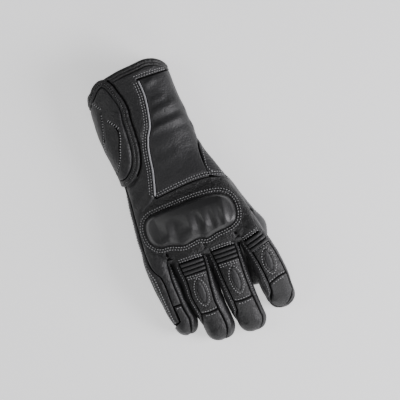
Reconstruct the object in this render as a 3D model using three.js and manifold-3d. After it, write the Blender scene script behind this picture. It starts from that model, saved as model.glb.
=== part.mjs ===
// Right-hand gauntlet glove of padded leather, lying palm down with its fingers towards -Y.
// Millimetres, +Z up, +Y towards the cuff, +X towards the thumb side.
import * as THREE from 'three';
import { mergeVertices } from 'three/addons/utils/BufferGeometryUtils.js';
import Module from 'manifold-3d';

const wasm = await Module();
wasm.setup();

// Driving sizes
const WALL = 2.0;            // leather with its lining
const GAP = 0.35;            // air between two pieces that are sewn on each other
const FLOOR_CUFF = 2.6;      // height of the cuff's own underside above the floor
const CUFF_MOUTH_Y = 150;    // where the tube of the cuff starts, trimmed by the lip
const WRIST_CUT_Y = 46;      // where the gauntlet meets the hand
const FINGER_CUT_Y = -52;    // where the fingers meet the hand
const THUMB_CUT_Y = -24;     // where the thumb meets the hand
const HAND_FRONT_LENGTH = 6.5;
const HAND_ROUNDNESS = 2.4;  // exponent of the superellipse, 2 is a plain ellipse
const DIGIT_ROUNDNESS = 2.2;
const HAND_SEGMENTS = 20;
const DIGIT_SEGMENTS = 12;
const CENTRE_X = 3.2;        // middle of the whole glove, which becomes the origin
const CENTRE_Y = 0.4;
const HIGH = 90;             // above everything
const MID_CUFF_Z = 24;       // between the back and the palm side of the cuff

// Cross-sections. x, z: middle; a: half width; b: half height; slope: rise towards the thumb side.
const columns = ['y', 'x', 'z', 'a', 'b', 'slope'];
const handTable = [
  [CUFF_MOUTH_Y, -18.6, 24.2, 41.8, 22.8, 0],
  [104, -18.2, 23.7, 42.3, 22.1, 0],
  [88, -17.4, 24.1, 43.5, 22.9, 0],
  [79, -16.8, 23.3, 43.5, 21.6, 0],
  [71, -16.0, 23.8, 43.5, 22.4, 0],
  [60, -14.9, 23.0, 43.1, 21.2, 0],
  [44, -12.6, 23.0, 43.1, 20.3, 0.01],
  [26, -9.2, 24.8, 46.0, 19.5, 0.04],
  [5, -6.7, 27.4, 50.7, 18.3, 0.08],
  [-12, -4.8, 30.2, 54.2, 17.5, 0.12],
  [-30, -2.6, 33.2, 57.4, 16.6, 0.155],
  [-44, -1.4, 34.5, 59.0, 15.4, 0.17],
];
const littleTable = [
  [-28, -49.0, 27.0, 8.0, 9.0, 0.1],
  [-42, -50.2, 26.8, 10.6, 12.4, 0.1],
  [-58, -49.5, 26.0, 11.9, 13.0, 0.08],
  [-74, -47.3, 23.4, 12.7, 12.6, 0.05],
  [-92, -45.6, 18.8, 12.0, 12.0, 0.02],
  [-105, -44.0, 15.0, 11.7, 11.6, 0],
  [-113, -42.2, 12.6, 11.4, 11.4, 0],
];
const ringTable = [
  [-26, -17.5, 31.0, 10.0, 11.0, 0.1],
  [-42, -18.0, 32.0, 16.0, 14.0, 0.1],
  [-58, -17.6, 31.8, 17.6, 14.0, 0.08],
  [-74, -16.2, 30.0, 16.7, 13.2, 0.05],
  [-94, -15.8, 25.6, 16.1, 12.6, 0.02],
  [-112, -13.7, 19.0, 14.8, 12.2, 0],
  [-123, -11.8, 14.4, 14.1, 12.0, 0],
  [-131, -11.1, 11.9, 13.8, 11.8, 0],
];
const middleTable = [
  [-26, 17.0, 36.0, 10.0, 11.0, 0.1],
  [-42, 17.2, 37.2, 14.5, 14.0, 0.1],
  [-58, 17.3, 37.0, 15.6, 14.2, 0.08],
  [-74, 17.5, 35.4, 14.9, 13.4, 0.05],
  [-94, 18.0, 30.6, 14.3, 12.8, 0.02],
  [-112, 19.0, 23.0, 14.2, 12.3, 0],
  [-126, 20.6, 15.6, 13.6, 12.0, 0],
  [-135, 22.1, 12.0, 12.9, 11.8, 0],
];
const indexTable = [
  [-26, 46.5, 39.5, 6.0, 8.0, 0.1],
  [-42, 47.2, 41.6, 10.6, 12.2, 0.1],
  [-58, 49.0, 42.0, 12.6, 12.8, 0.08],
  [-72, 52.0, 40.2, 13.4, 12.4, 0.05],
  [-88, 54.4, 35.6, 14.0, 12.2, 0.02],
  [-102, 55.6, 28.6, 14.4, 12.0, 0],
  [-112, 56.2, 21.6, 13.8, 11.8, 0],
  [-118, 57.0, 17.0, 13.2, 11.6, 0],
];
const thumbTable = [
  [30, 22.0, 22.0, 9.0, 11.0, 0],
  [8, 32.0, 19.5, 12.6, 13.4, 0],
  [-12, 38.5, 17.6, 13.0, 14.2, 0],
  [-31, 45.0, 16.8, 13.6, 14.2, 0],
  [-46, 51.4, 15.6, 13.8, 13.4, 0],
  [-54, 50.8, 13.8, 13.6, 12.4, 0],
  [-64, 47.8, 12.0, 13.2, 11.6, 0],
  [-78, 43.8, 10.8, 12.8, 10.8, 0],
  [-92, 39.6, 9.9, 12.2, 10.0, 0],
];
const digitTables = {
  little_finger: { table: littleTable, tipLength: 14.0 },
  ring_finger: { table: ringTable, tipLength: 11.0 },
  middle_finger: { table: middleTable, tipLength: 10.4 },
  index_finger: { table: indexTable, tipLength: 13.8 },
  thumb: { table: thumbTable, tipLength: 10.6 },
};

// Seams and outlines seen from above, [x, y]
const lipLine = [
  [-62, 106], [-60, 119], [-52, 133], [-42, 139.2], [-24, 142.9], [-7, 144.5], [3, 146], [11, 144.8], [18, 141.6],
  [22.3, 136.7], [24.2, 131.6], [25.6, 128.6], [34, 125],
];
const pipingLine = [
  [-7.6, 125], [-7.2, 112], [-8.4, 98], [-10.6, 85], [-15, 75], [-19, 66], [-21.4, 54], [-23.4, 36], [-29.4, 12.5],
];
const panelFootLine = [[-29.4, 12.5], [-16, 14.6], [0, 16.4], [14, 17.2], [27, 16.4], [41, 11]];
const flapEdgeLine = [
  [-39.5, 140.2], [-35, 134], [-30.6, 122.6], [-27.2, 109], [-27, 99], [-28, 80], [-29, 65], [-31, 55],
  [-35, 45], [-40.5, 38.2], [-47, 33.4], [-52, 31.8], [-57, 33.5],
];
const flapCornerLine = [[-64, 111], [-62, 120.4], [-57.4, 130], [-51.5, 137.6], [-45, 140.4]];
const flapPalmLine = [
  [-34, 135.4], [-10, 124], [2, 121], [8, 118], [11, 112], [11, 103], [8, 94.5], [2, 88.5], [-5, 85],
  [-28, 82.5], [-44, 79], [-54, 70], [-59.5, 56], [-63, 46],
];
const guardTop = [
  [-50.6, -21], [-49, -12], [-45, -5.6], [-38, -1.6], [-26, 0.2], [-6, 1], [16, 0.2], [32, -2], [38.6, -6.6],
  [42, -14], [43, -22],
];
const guardFoot = [
  [-50.6, -21], [-49.6, -28], [-46, -34.5], [-38, -38], [-29, -38.6], [-18, -42.6], [-2, -40.4],
  [5, -43.4], [18, -40.6], [30, -39.8], [37, -36.4], [41.6, -30], [43, -22],
];
const ulnarSeam = [
  [-54.6, 29], [-54.6, 16], [-57, -22], [-57.6, -46], [-56.2, -56], [-49.6, -70], [-49, -92], [-47.4, -115],
];

// Back of each finger: the two side seams, the tip seam and the pad
const fingerBacks = {
  little: { left: [[-49, -56], [-48.6, -92], [-47.6, -104], [-47, -116], [-45.5, -128]], right: [[-41, -56], [-41.7, -74], [-40.7, -97], [-38.5, -115], [-36.5, -128]], tipSeam: -97 },
  ring: { left: [[-29.6, -53], [-28.4, -66], [-27, -78], [-27.6, -95], [-25, -109], [-24, -124], [-20, -142]], right: [[-4, -53], [-5, -70], [-7, -87], [-8, -103], [-6.6, -118], [-4.8, -134], [-4.4, -143]], tipSeam: -112.5, ribs: -58.5, pad: [-15.6, -91.5, 4.6, 13] },
  middle: { left: [[4.6, -53], [6.4, -64], [7.4, -78], [8.8, -96], [10.4, -112], [11.4, -126], [14, -146]], right: [[29.4, -53], [28.8, -70], [28.4, -90], [29, -108], [31, -122], [33, -134], [33, -146]], tipSeam: -111.5, ribs: -57, pad: [20, -90.5, 4.4, 13] },
  index: { left: [[38.4, -53], [41.4, -62], [45.2, -76], [48, -92], [49.2, -105], [50, -116], [52, -132]], right: [[57.4, -53], [60.4, -62], [64, -74], [66.4, -86], [68.4, -99], [69, -112], [67, -132]], tipSeam: -102.5, ribs: -54, pad: [56.6, -82.5, 4.4, 11] },
};
const RIB_PITCH = 4.3;
const RIB_COUNT = 3;

// Pieces of the palm side
const heelPatch = [[-50, 41.5], [-49, 58.4], [-10, 58.8], [2, 48]];
const palmPatch = [[-52, 38], [-2, 43.6], [6, 36], [5, 21], [-4, 12], [-20, 3], [-38, -4], [-50, -4], [-53, 14]];
const triangleInsert = [[-48, 33], [-20, 37.4], [-26, 26]];
const trapezoidInsert = [[-13, 28.5], [-6, 39.4], [3, 31], [1, 24]];
const wristStrap = [[29, 60.4], [29, 77], [-36, 77], [-40, 74.6], [-42, 68.7], [-40, 62.8], [-36, 60.4]];

function rowsOf(table) {
  return table.map((values) => Object.fromEntries(columns.map((name, i) => [name, values[i]])));
}

function solidOf(positions, indices) {
  return new wasm.Manifold(new wasm.Mesh({
    numProp: 3,
    vertProperties: new Float32Array(positions),
    triVerts: new Uint32Array(indices),
  }));
}

// A closed body through rings of points that run from +X over +Z, with a fan of triangles on each end
function tube(rings) {
  const segments = rings[0].length;
  const indices = [];
  for (let r = 0; r < rings.length - 1; r++) {
    for (let i = 0; i < segments; i++) {
      const next = (i + 1) % segments;
      const [p, q] = [r * segments + i, r * segments + next];
      const [s, t] = [p + segments, q + segments];
      indices.push(p, q, s, q, t, s);
    }
  }
  const middle = (ring) => [0, 1, 2].map((axis) => ring.reduce((sum, point) => sum + point[axis], 0) / segments);
  const start = rings.length * segments;
  const end = start - segments;
  for (let i = 0; i < segments; i++) {
    const next = (i + 1) % segments;
    indices.push(start, next, i, start + 1, end + i, end + next);
  }
  return solidOf([...rings, [middle(rings[0]), middle(rings.at(-1))]].flat(2), indices);
}

// A closed tube through superellipse sections, flattened where it would go below the floor
function loft(rows, segments, roundness, floor) {
  return tube(rows.map((row) => Array.from({ length: segments }, (_, i) => {
    const angle = (2 * Math.PI * i) / segments;
    const across = row.a * Math.sign(Math.cos(angle)) * Math.abs(Math.cos(angle)) ** (2 / roundness);
    const up = row.b * Math.sign(Math.sin(angle)) * Math.abs(Math.sin(angle)) ** (2 / roundness);
    return [row.x + across, row.y, Math.max(row.z + up + row.slope * across, floor)];
  })));
}

// Rows of a digit or of the hand, grown outwards, with a rounded end past the last row
function grownRows(table, grow, tipLength, tipSteps) {
  const rows = rowsOf(table).map((row) => ({ ...row, a: row.a + grow, b: row.b + grow }));
  const last = rows.at(-1);
  for (let step = 1; step <= tipSteps; step++) {
    const turn = (0.5 * Math.PI * step) / (tipSteps + 0.35);
    const shrink = Math.cos(turn) ** 0.9;
    rows.push({ ...last, y: last.y - (tipLength + grow) * Math.sin(turn), a: last.a * shrink, b: last.b * shrink });
  }
  return rows;
}

function hand(grow) {
  return loft(grownRows(handTable, grow, HAND_FRONT_LENGTH, 2), HAND_SEGMENTS, HAND_ROUNDNESS, FLOOR_CUFF - grow);
}

function digit(name, grow) {
  const { table, tipLength } = digitTables[name];
  return loft(grownRows(table, grow, tipLength, 3), DIGIT_SEGMENTS, DIGIT_ROUNDNESS, -grow);
}

const fingerNames = ['little_finger', 'ring_finger', 'middle_finger', 'index_finger'];

function handWithFingers(grow) {
  return fingerNames.reduce((sum, name) => sum.add(digit(name, grow)), hand(grow));
}

// An upright prism over an outline
function prism(points, low, high) {
  const shape = new THREE.Shape(points.map(([x, y]) => new THREE.Vector2(x, y)));
  const geometry = new THREE.ExtrudeGeometry(shape, { depth: high - low, bevelEnabled: false });
  geometry.deleteAttribute('uv');
  geometry.deleteAttribute('normal');
  geometry.translate(0, 0, low);
  const merged = mergeVertices(geometry, 1e-4);
  return solidOf(merged.attributes.position.array, merged.index.array);
}

// A block over a line in the y-z plane, [y, z], up to above everything
function above(line, x0, x1) {
  const upright = prism([...line, [line.at(-1)[0], HIGH], [line[0][0], HIGH]], x0, x1);
  return upright.transform([0, 1, 0, 0, 0, 0, 1, 0, 1, 0, 0, 0, 0, 0, 0, 1]);
}

function slab(x0, x1, y0, y1, z0, z1) {
  return prism([[x0, y0], [x1, y0], [x1, y1], [x0, y1]], z0, z1);
}

// The line moved sideways by a distance, to the right of its direction where that is positive
function sideways(line, distance) {
  return line.map(([x, y], i) => {
    const [px, py] = line[Math.max(i - 1, 0)];
    const [nx, ny] = line[Math.min(i + 1, line.length - 1)];
    const length = Math.hypot(nx - px, ny - py);
    return [x + (distance * (ny - py)) / length, y - (distance * (nx - px)) / length];
  });
}

// A closed outline moved outwards by a margin, with its corners kept sharp
function swollen(outline, margin) {
  const turn = Math.sign(THREE.ShapeUtils.area(outline.map(([x, y]) => new THREE.Vector2(x, y))));
  return outline.map(([x, y], i) => {
    const [px, py] = outline.at(i - 1);
    const [nx, ny] = outline[(i + 1) % outline.length];
    const before = new THREE.Vector2(y - py, px - x).normalize();
    const after = new THREE.Vector2(ny - y, x - nx).normalize();
    const middle = before.clone().add(after).normalize();
    const reach = (turn * margin) / Math.max(middle.dot(after), 0.35);
    return [x + reach * middle.x, y + reach * middle.y];
  });
}

function band(line, left, right, low, high) {
  return prism([...sideways(line, -left), ...sideways(line, right).reverse()], low, high);
}

const bodies = new Map();
function bodyGrown(grow) {
  if (!bodies.has(grow)) {
    bodies.set(grow, handWithFingers(grow));
  }
  return bodies.get(grow);
}

// A layer of leather on the body, from one height above it to another
function layer(low, high) {
  return bodyGrown(high).subtract(bodyGrown(low));
}

const whole = [-100, 100];
const beyondWrist = slab(...whole, WRIST_CUT_Y + GAP / 2, 200, -5, HIGH);
const betweenCuts = slab(...whole, FINGER_CUT_Y + GAP / 2, WRIST_CUT_Y - GAP / 2, -5, HIGH);
const beyondFingers = slab(...whole, -200, FINGER_CUT_Y - GAP / 2, -5, HIGH);
const thumbBefore = slab(...whole, THUMB_CUT_Y + GAP / 2, 100, -5, HIGH);
const thumbBeyond = slab(...whole, -200, THUMB_CUT_Y - GAP / 2, -5, HIGH);

const leather = new THREE.MeshStandardMaterial({ color: 0x303032, roughness: 0.55, metalness: 0 });
const grainLeather = new THREE.MeshStandardMaterial({ color: 0x262628, roughness: 0.7, metalness: 0 });
const softLeather = new THREE.MeshStandardMaterial({ color: 0x38383b, roughness: 0.5, metalness: 0 });
const moulded = new THREE.MeshStandardMaterial({ color: 0x3a3a3d, roughness: 0.42, metalness: 0 });
const reflective = new THREE.MeshStandardMaterial({ color: 0xb9b9bd, roughness: 0.4, metalness: 0.1 });

const glove = new THREE.Group();

// The largest body of a cut, without the slivers that it leaves
function largest(solid) {
  return solid.decompose().reduce((most, body) => (body.volume() > most.volume() ? body : most));
}

function addPiece(name, solid, material) {
  const { vertProperties, triVerts } = largest(solid).getMesh();
  const geometry = new THREE.BufferGeometry();
  geometry.setAttribute('position', new THREE.BufferAttribute(new Float32Array(vertProperties), 3));
  geometry.setIndex(new THREE.BufferAttribute(new Uint32Array(triVerts), 1));
  geometry.translate(-CENTRE_X, -CENTRE_Y, 0);
  geometry.computeVertexNormals();
  const mesh = new THREE.Mesh(geometry, material.clone());
  mesh.name = name;
  glove.add(mesh);
}

// The space over the hand's middle surface, which its side seams follow, less a drop
function overMiddle(drop) {
  const reach = 90;
  const rows = rowsOf(handTable);
  rows.push({ ...rows.at(-1), y: FINGER_CUT_Y - 10 });
  return tube(rows.map(({ x, y, z, slope }) => [
    [x + reach, y, z + slope * reach - drop], [x + reach, y, HIGH],
    [x - reach, y, HIGH], [x - reach, y, z - slope * reach - drop],
  ]));
}

// The shell: gauntlet, back and palm of the hand, four fingers and the thumb, which opens into the hand
const lipPrism = prism([[-100, -100], [-100, 100], ...lipLine, [100, 118], [100, -100]], -5, HIGH);
const thumbRoot = digit('thumb', 0).intersect(thumbBefore);
const thumbRootHollow = digit('thumb', -WALL).intersect(thumbBefore);
const outer = bodyGrown(0).add(thumbRoot);
const hollow = bodyGrown(-WALL).add(thumbRootHollow);
const shell = outer.subtract(hollow);
addPiece('gauntlet', shell.intersect(beyondWrist).intersect(lipPrism), leather);
const handShell = shell.intersect(betweenCuts);
addPiece('hand_back', handShell.intersect(overMiddle(-GAP / 2)), leather);
addPiece('hand_palm', handShell.subtract(overMiddle(GAP / 2)), leather);
for (const name of fingerNames) {
  addPiece(name, digit(name, 0).subtract(digit(name, -WALL)).intersect(beyondFingers), leather);
}
const clearOfThumb = digit('thumb', 0.6);
const thumbRoom = 0.8;
const thumbOuter = digit('thumb', 0).subtract(bodyGrown(thumbRoom));
const thumbHollow = digit('thumb', -WALL).subtract(bodyGrown(thumbRoom + WALL));
addPiece('thumb', thumbOuter.subtract(thumbHollow).intersect(thumbBeyond), softLeather);

// Moulded knuckle guard: a low plateau with four domes over the knuckles and a scalloped foot
const guardRim = 2.0;
const guardRise = 2.6;
const guardDome = 2.6;
const domes = [[-36, -22, 7.5], [-15, -24, 8], [6, -24, 8], [28, -22, 7.5]];
const handTopRows = rowsOf(handTable);

function between(line, key, value, wanted) {
  let i = 0;
  while (i < line.length - 2 && (line[i + 1][key] - value) * Math.sign(line.at(-1)[key] - line[0][key]) < 0) {
    i++;
  }
  const part = (value - line[i][key]) / (line[i + 1][key] - line[i][key]);
  return line[i][wanted] + part * (line[i + 1][wanted] - line[i][wanted]);
}

function handTopZ(x, y) {
  const at = (name) => between(handTopRows, 'y', y, name);
  const across = x - at('x');
  const part = Math.min(Math.abs(across) / at('a'), 0.999);
  return at('z') + at('slope') * across + at('b') * (1 - part ** HAND_ROUNDNESS) ** (1 / HAND_ROUNDNESS);
}

function guardSolid() {
  const columnCount = 20;
  const rowCount = 7;
  const left = guardTop[0][0];
  const right = guardTop.at(-1)[0];
  const positions = [];
  for (const level of [0, 1]) {
    for (let i = 0; i <= columnCount; i++) {
      const across = 0.5 - 0.5 * Math.cos((Math.PI * i) / columnCount);
      const x = left + (right - left) * (0.35 * across + 0.65 * (i / columnCount));
      const top = between(guardTop, 0, x, 1) + 0.3;
      const foot = between(guardFoot, 0, x, 1) - 0.3;
      for (let j = 0; j <= rowCount; j++) {
        const y = foot + ((top - foot) * j) / rowCount;
        const edge = Math.min(y - foot, top - y, (x - left) * 0.8, (right - x) * 0.8) / 7;
        const rise = Math.sin(0.5 * Math.PI * Math.min(1, Math.max(0, edge)));
        const dome = domes.reduce((most, [dx, dy, r]) => Math.max(most, 1 - ((x - dx) / r) ** 2 - ((y - dy) / (1.5 * r)) ** 2), 0);
        const height = guardRim + guardRise * rise + guardDome * Math.sqrt(dome) * rise;
        positions.push(x, y, handTopZ(x, y) + (level ? height : -4));
      }
    }
  }
  const stride = rowCount + 1;
  const half = (columnCount + 1) * stride;
  const indices = [];
  const quad = (p, q, r, s) => indices.push(p, q, r, p, r, s);
  for (let i = 0; i < columnCount; i++) {
    for (let j = 0; j < rowCount; j++) {
      const p = i * stride + j;
      quad(half + p, half + p + stride, half + p + stride + 1, half + p + 1);
      quad(p, p + 1, p + stride + 1, p + stride);
    }
    const foot = i * stride;
    const top = foot + rowCount;
    quad(foot, foot + stride, half + foot + stride, half + foot);
    quad(top + stride, top, half + top, half + top + stride);
  }
  for (let j = 0; j < rowCount; j++) {
    const last = columnCount * stride + j;
    quad(j + 1, j, half + j, half + j + 1);
    quad(last, last + 1, half + last + 1, half + last);
  }
  return solidOf(positions, indices);
}
addPiece('knuckle_guard', guardSolid().subtract(bodyGrown(GAP)), moulded);

// Grained leather band round the guard, over the whole back of the hand
const guardMargin = 1.2;
const guardRoom = prism(swollen([...guardTop, ...guardFoot.slice(1, -1).reverse()], guardMargin), -5, HIGH);
const surroundOutline = [
  ...sideways(panelFootLine, 0.8), [46.5, 0], [54, -30], [56.2, -46],
  [-56, -46], [-55.4, -12], [-53.4, 14],
];
const surround = layer(GAP, 1.3).intersect(prism(surroundOutline, 31, HIGH)).subtract(guardRoom);
addPiece('knuckle_surround', surround.subtract(clearOfThumb), grainLeather);

// Smooth panel over the back of the cuff, from the piping to the thumb side
const panelTopY = 128.6;
const lipBandWidth = 6.4;
const panelOutline = [
  ...sideways(pipingLine, -1.2).reverse(), [-6, panelTopY], [24.6, panelTopY], [36, panelTopY],
  [36, 40], [40, 22], ...sideways(panelFootLine, -0.4).reverse().slice(0, -1),
];
const cuffPanel = layer(GAP, 1.4).intersect(prism(panelOutline, MID_CUFF_Z, HIGH));
const bindingRoom = band(lipLine, 0, lipBandWidth + GAP, -5, HIGH);
addPiece('cuff_panel', cuffPanel.subtract(clearOfThumb).subtract(bindingRoom), softLeather);
addPiece('reflective_piping', layer(GAP, 1.9).intersect(band(pipingLine, 0.8, 0.8, MID_CUFF_Z, HIGH)), reflective);

// The closing flap: over the back, round the little-finger side and under the palm side
const flapBack = [...flapEdgeLine, [-60, 37], [-90, 41], [-90, 111], ...flapCornerLine];
const flapPalm = [...flapCornerLine, ...flapPalmLine, [-90, 41], [-90, 111]];
const bindingWidth = 7;
function bothSides(back, palm, margin) {
  return prism(swollen(back, margin), MID_CUFF_Z, HIGH).add(prism(swollen(palm, margin), -5, MID_CUFF_Z));
}
const flapFull = bothSides(flapBack, flapPalm, 0);
const flapInner = bothSides(flapBack, flapPalm, -bindingWidth);
const flapInnerRoom = bothSides(flapBack, flapPalm, GAP - bindingWidth);
addPiece('cuff_flap', layer(GAP, 2.2).intersect(flapInner), leather);
addPiece('flap_binding', layer(GAP, FLOOR_CUFF).intersect(flapFull).subtract(flapInnerRoom), grainLeather);

// Binding round the mouth of the cuff, on both sides
const flapClear = bothSides(flapBack, flapPalm, 0.5);
const lipBand = band(lipLine, 0, lipBandWidth, -5, HIGH);
addPiece('cuff_binding', layer(GAP, 1.5).intersect(lipBand).subtract(flapClear), grainLeather);

// Palm side: wrist strap, heel patch, palm patch and its two padded inserts
const palmSide = slab(...whole, -60, 200, -5, MID_CUFF_Z - 2);
addPiece('wrist_strap', layer(GAP, 2.3).intersect(prism(wristStrap, -5, MID_CUFF_Z - 2)), leather);
for (const [name, outline, low, high, material] of [
  ['heel_patch', heelPatch, GAP, 1.6, grainLeather],
  ['palm_patch', palmPatch, GAP, 1.6, grainLeather],
  ['palm_insert_outer', triangleInsert, 1.95, 3.0, softLeather],
  ['palm_insert_inner', trapezoidInsert, 1.95, 3.0, softLeather],
]) {
  const piece = layer(low, high).intersect(prism(outline, -5, MID_CUFF_Z)).intersect(palmSide);
  addPiece(name, piece.subtract(clearOfThumb).subtract(flapClear), material);
}

// Overlay down the little-finger side of the hand
const ulnarOutline = [...ulnarSeam, [-70, -115], [-70, 29]];
addPiece('side_overlay', layer(GAP, 1.4).intersect(prism(ulnarOutline, 18, HIGH)), grainLeather);

// Backs of the fingers: ribbed flex panel, panel with a padded oval, tip cap
function fingerLayer(name, low, high) {
  return digit(`${name}_finger`, high).subtract(digit(`${name}_finger`, low));
}

// The space above a finger's middle line, less a drop
function upperHalf(name, drop) {
  const rows = rowsOf(digitTables[`${name}_finger`].table);
  const last = rows.at(-1);
  return above([...rows.map(({ y, z }) => [y, z - drop]), [last.y - 40, last.z - drop]], -100, 100);
}

function ribRows(name, ribStart) {
  const table = rowsOf(digitTables[`${name}_finger`].table);
  const rows = [];
  const steps = 3;
  for (let i = 0; i <= RIB_COUNT * steps; i++) {
    const y = ribStart - (i * RIB_PITCH) / steps;
    const grow = 0.9 + 1.4 * Math.sin((Math.PI * (i % steps)) / steps);
    const row = { y };
    for (const column of columns.slice(1)) {
      row[column] = between(table, 'y', y, column);
    }
    rows.push({ ...row, a: row.a + grow, b: row.b + grow });
  }
  return rows;
}

function backOutline({ left, right }, top, foot) {
  const within = (line, shift) => {
    const ys = [top, ...line.map(([, y]) => y).filter((y) => y < top && y > foot), foot];
    return ys.map((y) => [between(line, 1, y, 0) + shift, y]);
  };
  return [...within(right, -0.5), ...within(left, 0.5).reverse()];
}

for (const [name, back] of Object.entries(fingerBacks)) {
  let panelTop = -56.5;
  if (back.ribs) {
    const ribFoot = back.ribs - RIB_COUNT * RIB_PITCH;
    const ribs = loft(ribRows(name, back.ribs), DIGIT_SEGMENTS, DIGIT_ROUNDNESS, 0);
    const ribField = prism(backOutline(back, back.ribs, ribFoot), -5, HIGH).intersect(upperHalf(name, -2));
    addPiece(`${name}_ribs`, ribs.intersect(ribField).subtract(digit(`${name}_finger`, GAP)), grainLeather);
    panelTop = ribFoot - 0.6;
  }
  const panelOutlineHere = backOutline(back, panelTop, back.tipSeam + 0.4);
  const onBack = upperHalf(name, 1).intersect(prism(panelOutlineHere, -5, HIGH));
  addPiece(`${name}_panel`, fingerLayer(name, GAP, 1.2).intersect(onBack), grainLeather);
  if (back.pad) {
    const [x, y, halfWidth, halfLength] = back.pad;
    const oval = Array.from({ length: 12 }, (_, i) => {
      const angle = (Math.PI * i) / 6;
      return [x + halfWidth * Math.cos(angle), y + halfLength * Math.sin(angle)];
    });
    const onPanel = upperHalf(name, 0).intersect(prism(oval, -5, HIGH));
    addPiece(`${name}_pad`, fingerLayer(name, 1.5, 2.6).intersect(onPanel), softLeather);
  }
  const capOutline = backOutline(back, back.tipSeam - 0.4, back.left.at(-1)[1] - 6);
  const onTip = upperHalf(name, 3).intersect(prism(capOutline, -5, HIGH));
  addPiece(`${name}_cap`, fingerLayer(name, GAP, 1.2).intersect(onTip), leather);
}

export default glove;
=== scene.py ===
# Right-hand gauntlet riding glove of padded leather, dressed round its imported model.
# Outlines are in millimetres in the glove's own plan: +X to the thumb, +Y to the cuff, +Z up off the sheet.
import math

import bmesh
import bpy
import numpy as np
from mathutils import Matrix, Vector, geometry, noise
from mathutils.bvhtree import BVHTree


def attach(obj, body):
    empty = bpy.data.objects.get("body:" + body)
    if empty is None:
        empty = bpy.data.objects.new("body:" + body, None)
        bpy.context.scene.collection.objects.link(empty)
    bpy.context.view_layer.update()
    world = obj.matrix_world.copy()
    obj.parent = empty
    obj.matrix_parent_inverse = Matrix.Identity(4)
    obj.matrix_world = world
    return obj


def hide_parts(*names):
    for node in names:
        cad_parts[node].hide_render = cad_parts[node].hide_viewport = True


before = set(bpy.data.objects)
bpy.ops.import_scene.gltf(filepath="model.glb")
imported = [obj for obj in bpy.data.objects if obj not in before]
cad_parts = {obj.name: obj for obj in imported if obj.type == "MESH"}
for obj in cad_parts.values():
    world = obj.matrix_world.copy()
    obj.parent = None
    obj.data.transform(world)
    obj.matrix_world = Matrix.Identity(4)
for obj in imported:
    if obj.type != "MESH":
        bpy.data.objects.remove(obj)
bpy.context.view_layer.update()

# The sheet that the glove lies on, the studio light and the camera
# A plain white sheet that glows a little, under a straight-down long lens. The light is soft: a strong lamp
# stands low on the thumb side, and weak ones beyond the fingertips, on the little-finger side and overhead.
PHOTO_RIGHT = Vector((0.945, -0.328, 0.0))
PHOTO_UP = Vector((0.328, 0.945, 0.0))
PHOTO_CENTRE = Vector((0.0082, -0.0050, 0.030))
PHOTO_WIDTH = 0.400
LENS_DISTANCE = 2.6
SENSOR = 36.0

sheet_mesh = bpy.data.meshes.new("white_sheet")
sheet_half = 4.0
sheet_mesh.from_pydata([(-sheet_half, -sheet_half, 0), (sheet_half, -sheet_half, 0),
                        (sheet_half, sheet_half, 0), (-sheet_half, sheet_half, 0)], [], [(0, 1, 2, 3)])
sheet = bpy.data.objects.new("white_sheet", sheet_mesh)
bpy.context.collection.objects.link(sheet)
sheet_paint = bpy.data.materials.new("white_paper")
sheet_paint.use_nodes = True
paper = sheet_paint.node_tree.nodes["Principled BSDF"]
paper.inputs["Base Color"].default_value = (0.86, 0.86, 0.87, 1)
paper.inputs["Roughness"].default_value = 0.9
paper.inputs["Emission Color"].default_value = (1, 1, 1, 1)
paper.inputs["Emission Strength"].default_value = 0.8
paper.inputs["Specular IOR Level"].default_value = 0.1
sheet_mesh.materials.append(sheet_paint)

camera_data = bpy.data.cameras.new("camera")
camera_data.sensor_width = SENSOR
camera_data.lens = SENSOR * LENS_DISTANCE / PHOTO_WIDTH
camera_data.clip_end = 20
camera = bpy.data.objects.new("camera", camera_data)
camera.location = PHOTO_CENTRE + Vector((0, 0, LENS_DISTANCE))
camera.rotation_euler = (0, 0, math.atan2(PHOTO_RIGHT.y, PHOTO_RIGHT.x))
bpy.context.collection.objects.link(camera)
bpy.context.scene.camera = camera


def softbox(name, towards, distance, height, size, power, colour=(1, 1, 1)):
    """A square lamp beside the glove that looks at it."""
    lamp = bpy.data.lights.new(name, "AREA")
    lamp.shape = "SQUARE"
    lamp.size = size
    lamp.energy = power
    lamp.color = colour
    box = bpy.data.objects.new(name, lamp)
    box.location = towards.normalized() * distance + Vector((0, 0, height))
    box.rotation_euler = (Vector((0, 0, 0.02)) - box.location).to_track_quat("-Z", "Y").to_euler()
    bpy.context.collection.objects.link(box)


softbox("thumb_side_light", PHOTO_RIGHT - 0.15 * PHOTO_UP, 1.25, 0.75, 0.8, 21, (0.985, 0.965, 1.0))
softbox("fingertip_light", 0.3 * PHOTO_RIGHT - PHOTO_UP, 1.2, 0.62, 0.8, 4.8)
softbox("little_side_light", -PHOTO_RIGHT, 1.05, 1.05, 0.8, 4.4)
softbox("overhead_light", PHOTO_UP, 0.1, 1.9, 1.0, 1.8)
world = bpy.data.worlds.new("studio")
bpy.context.scene.world = world
world.use_nodes = True
world.node_tree.nodes["Background"].inputs["Color"].default_value = (0.9, 0.92, 0.95, 1)
world.node_tree.nodes["Background"].inputs["Strength"].default_value = 0.08

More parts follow.
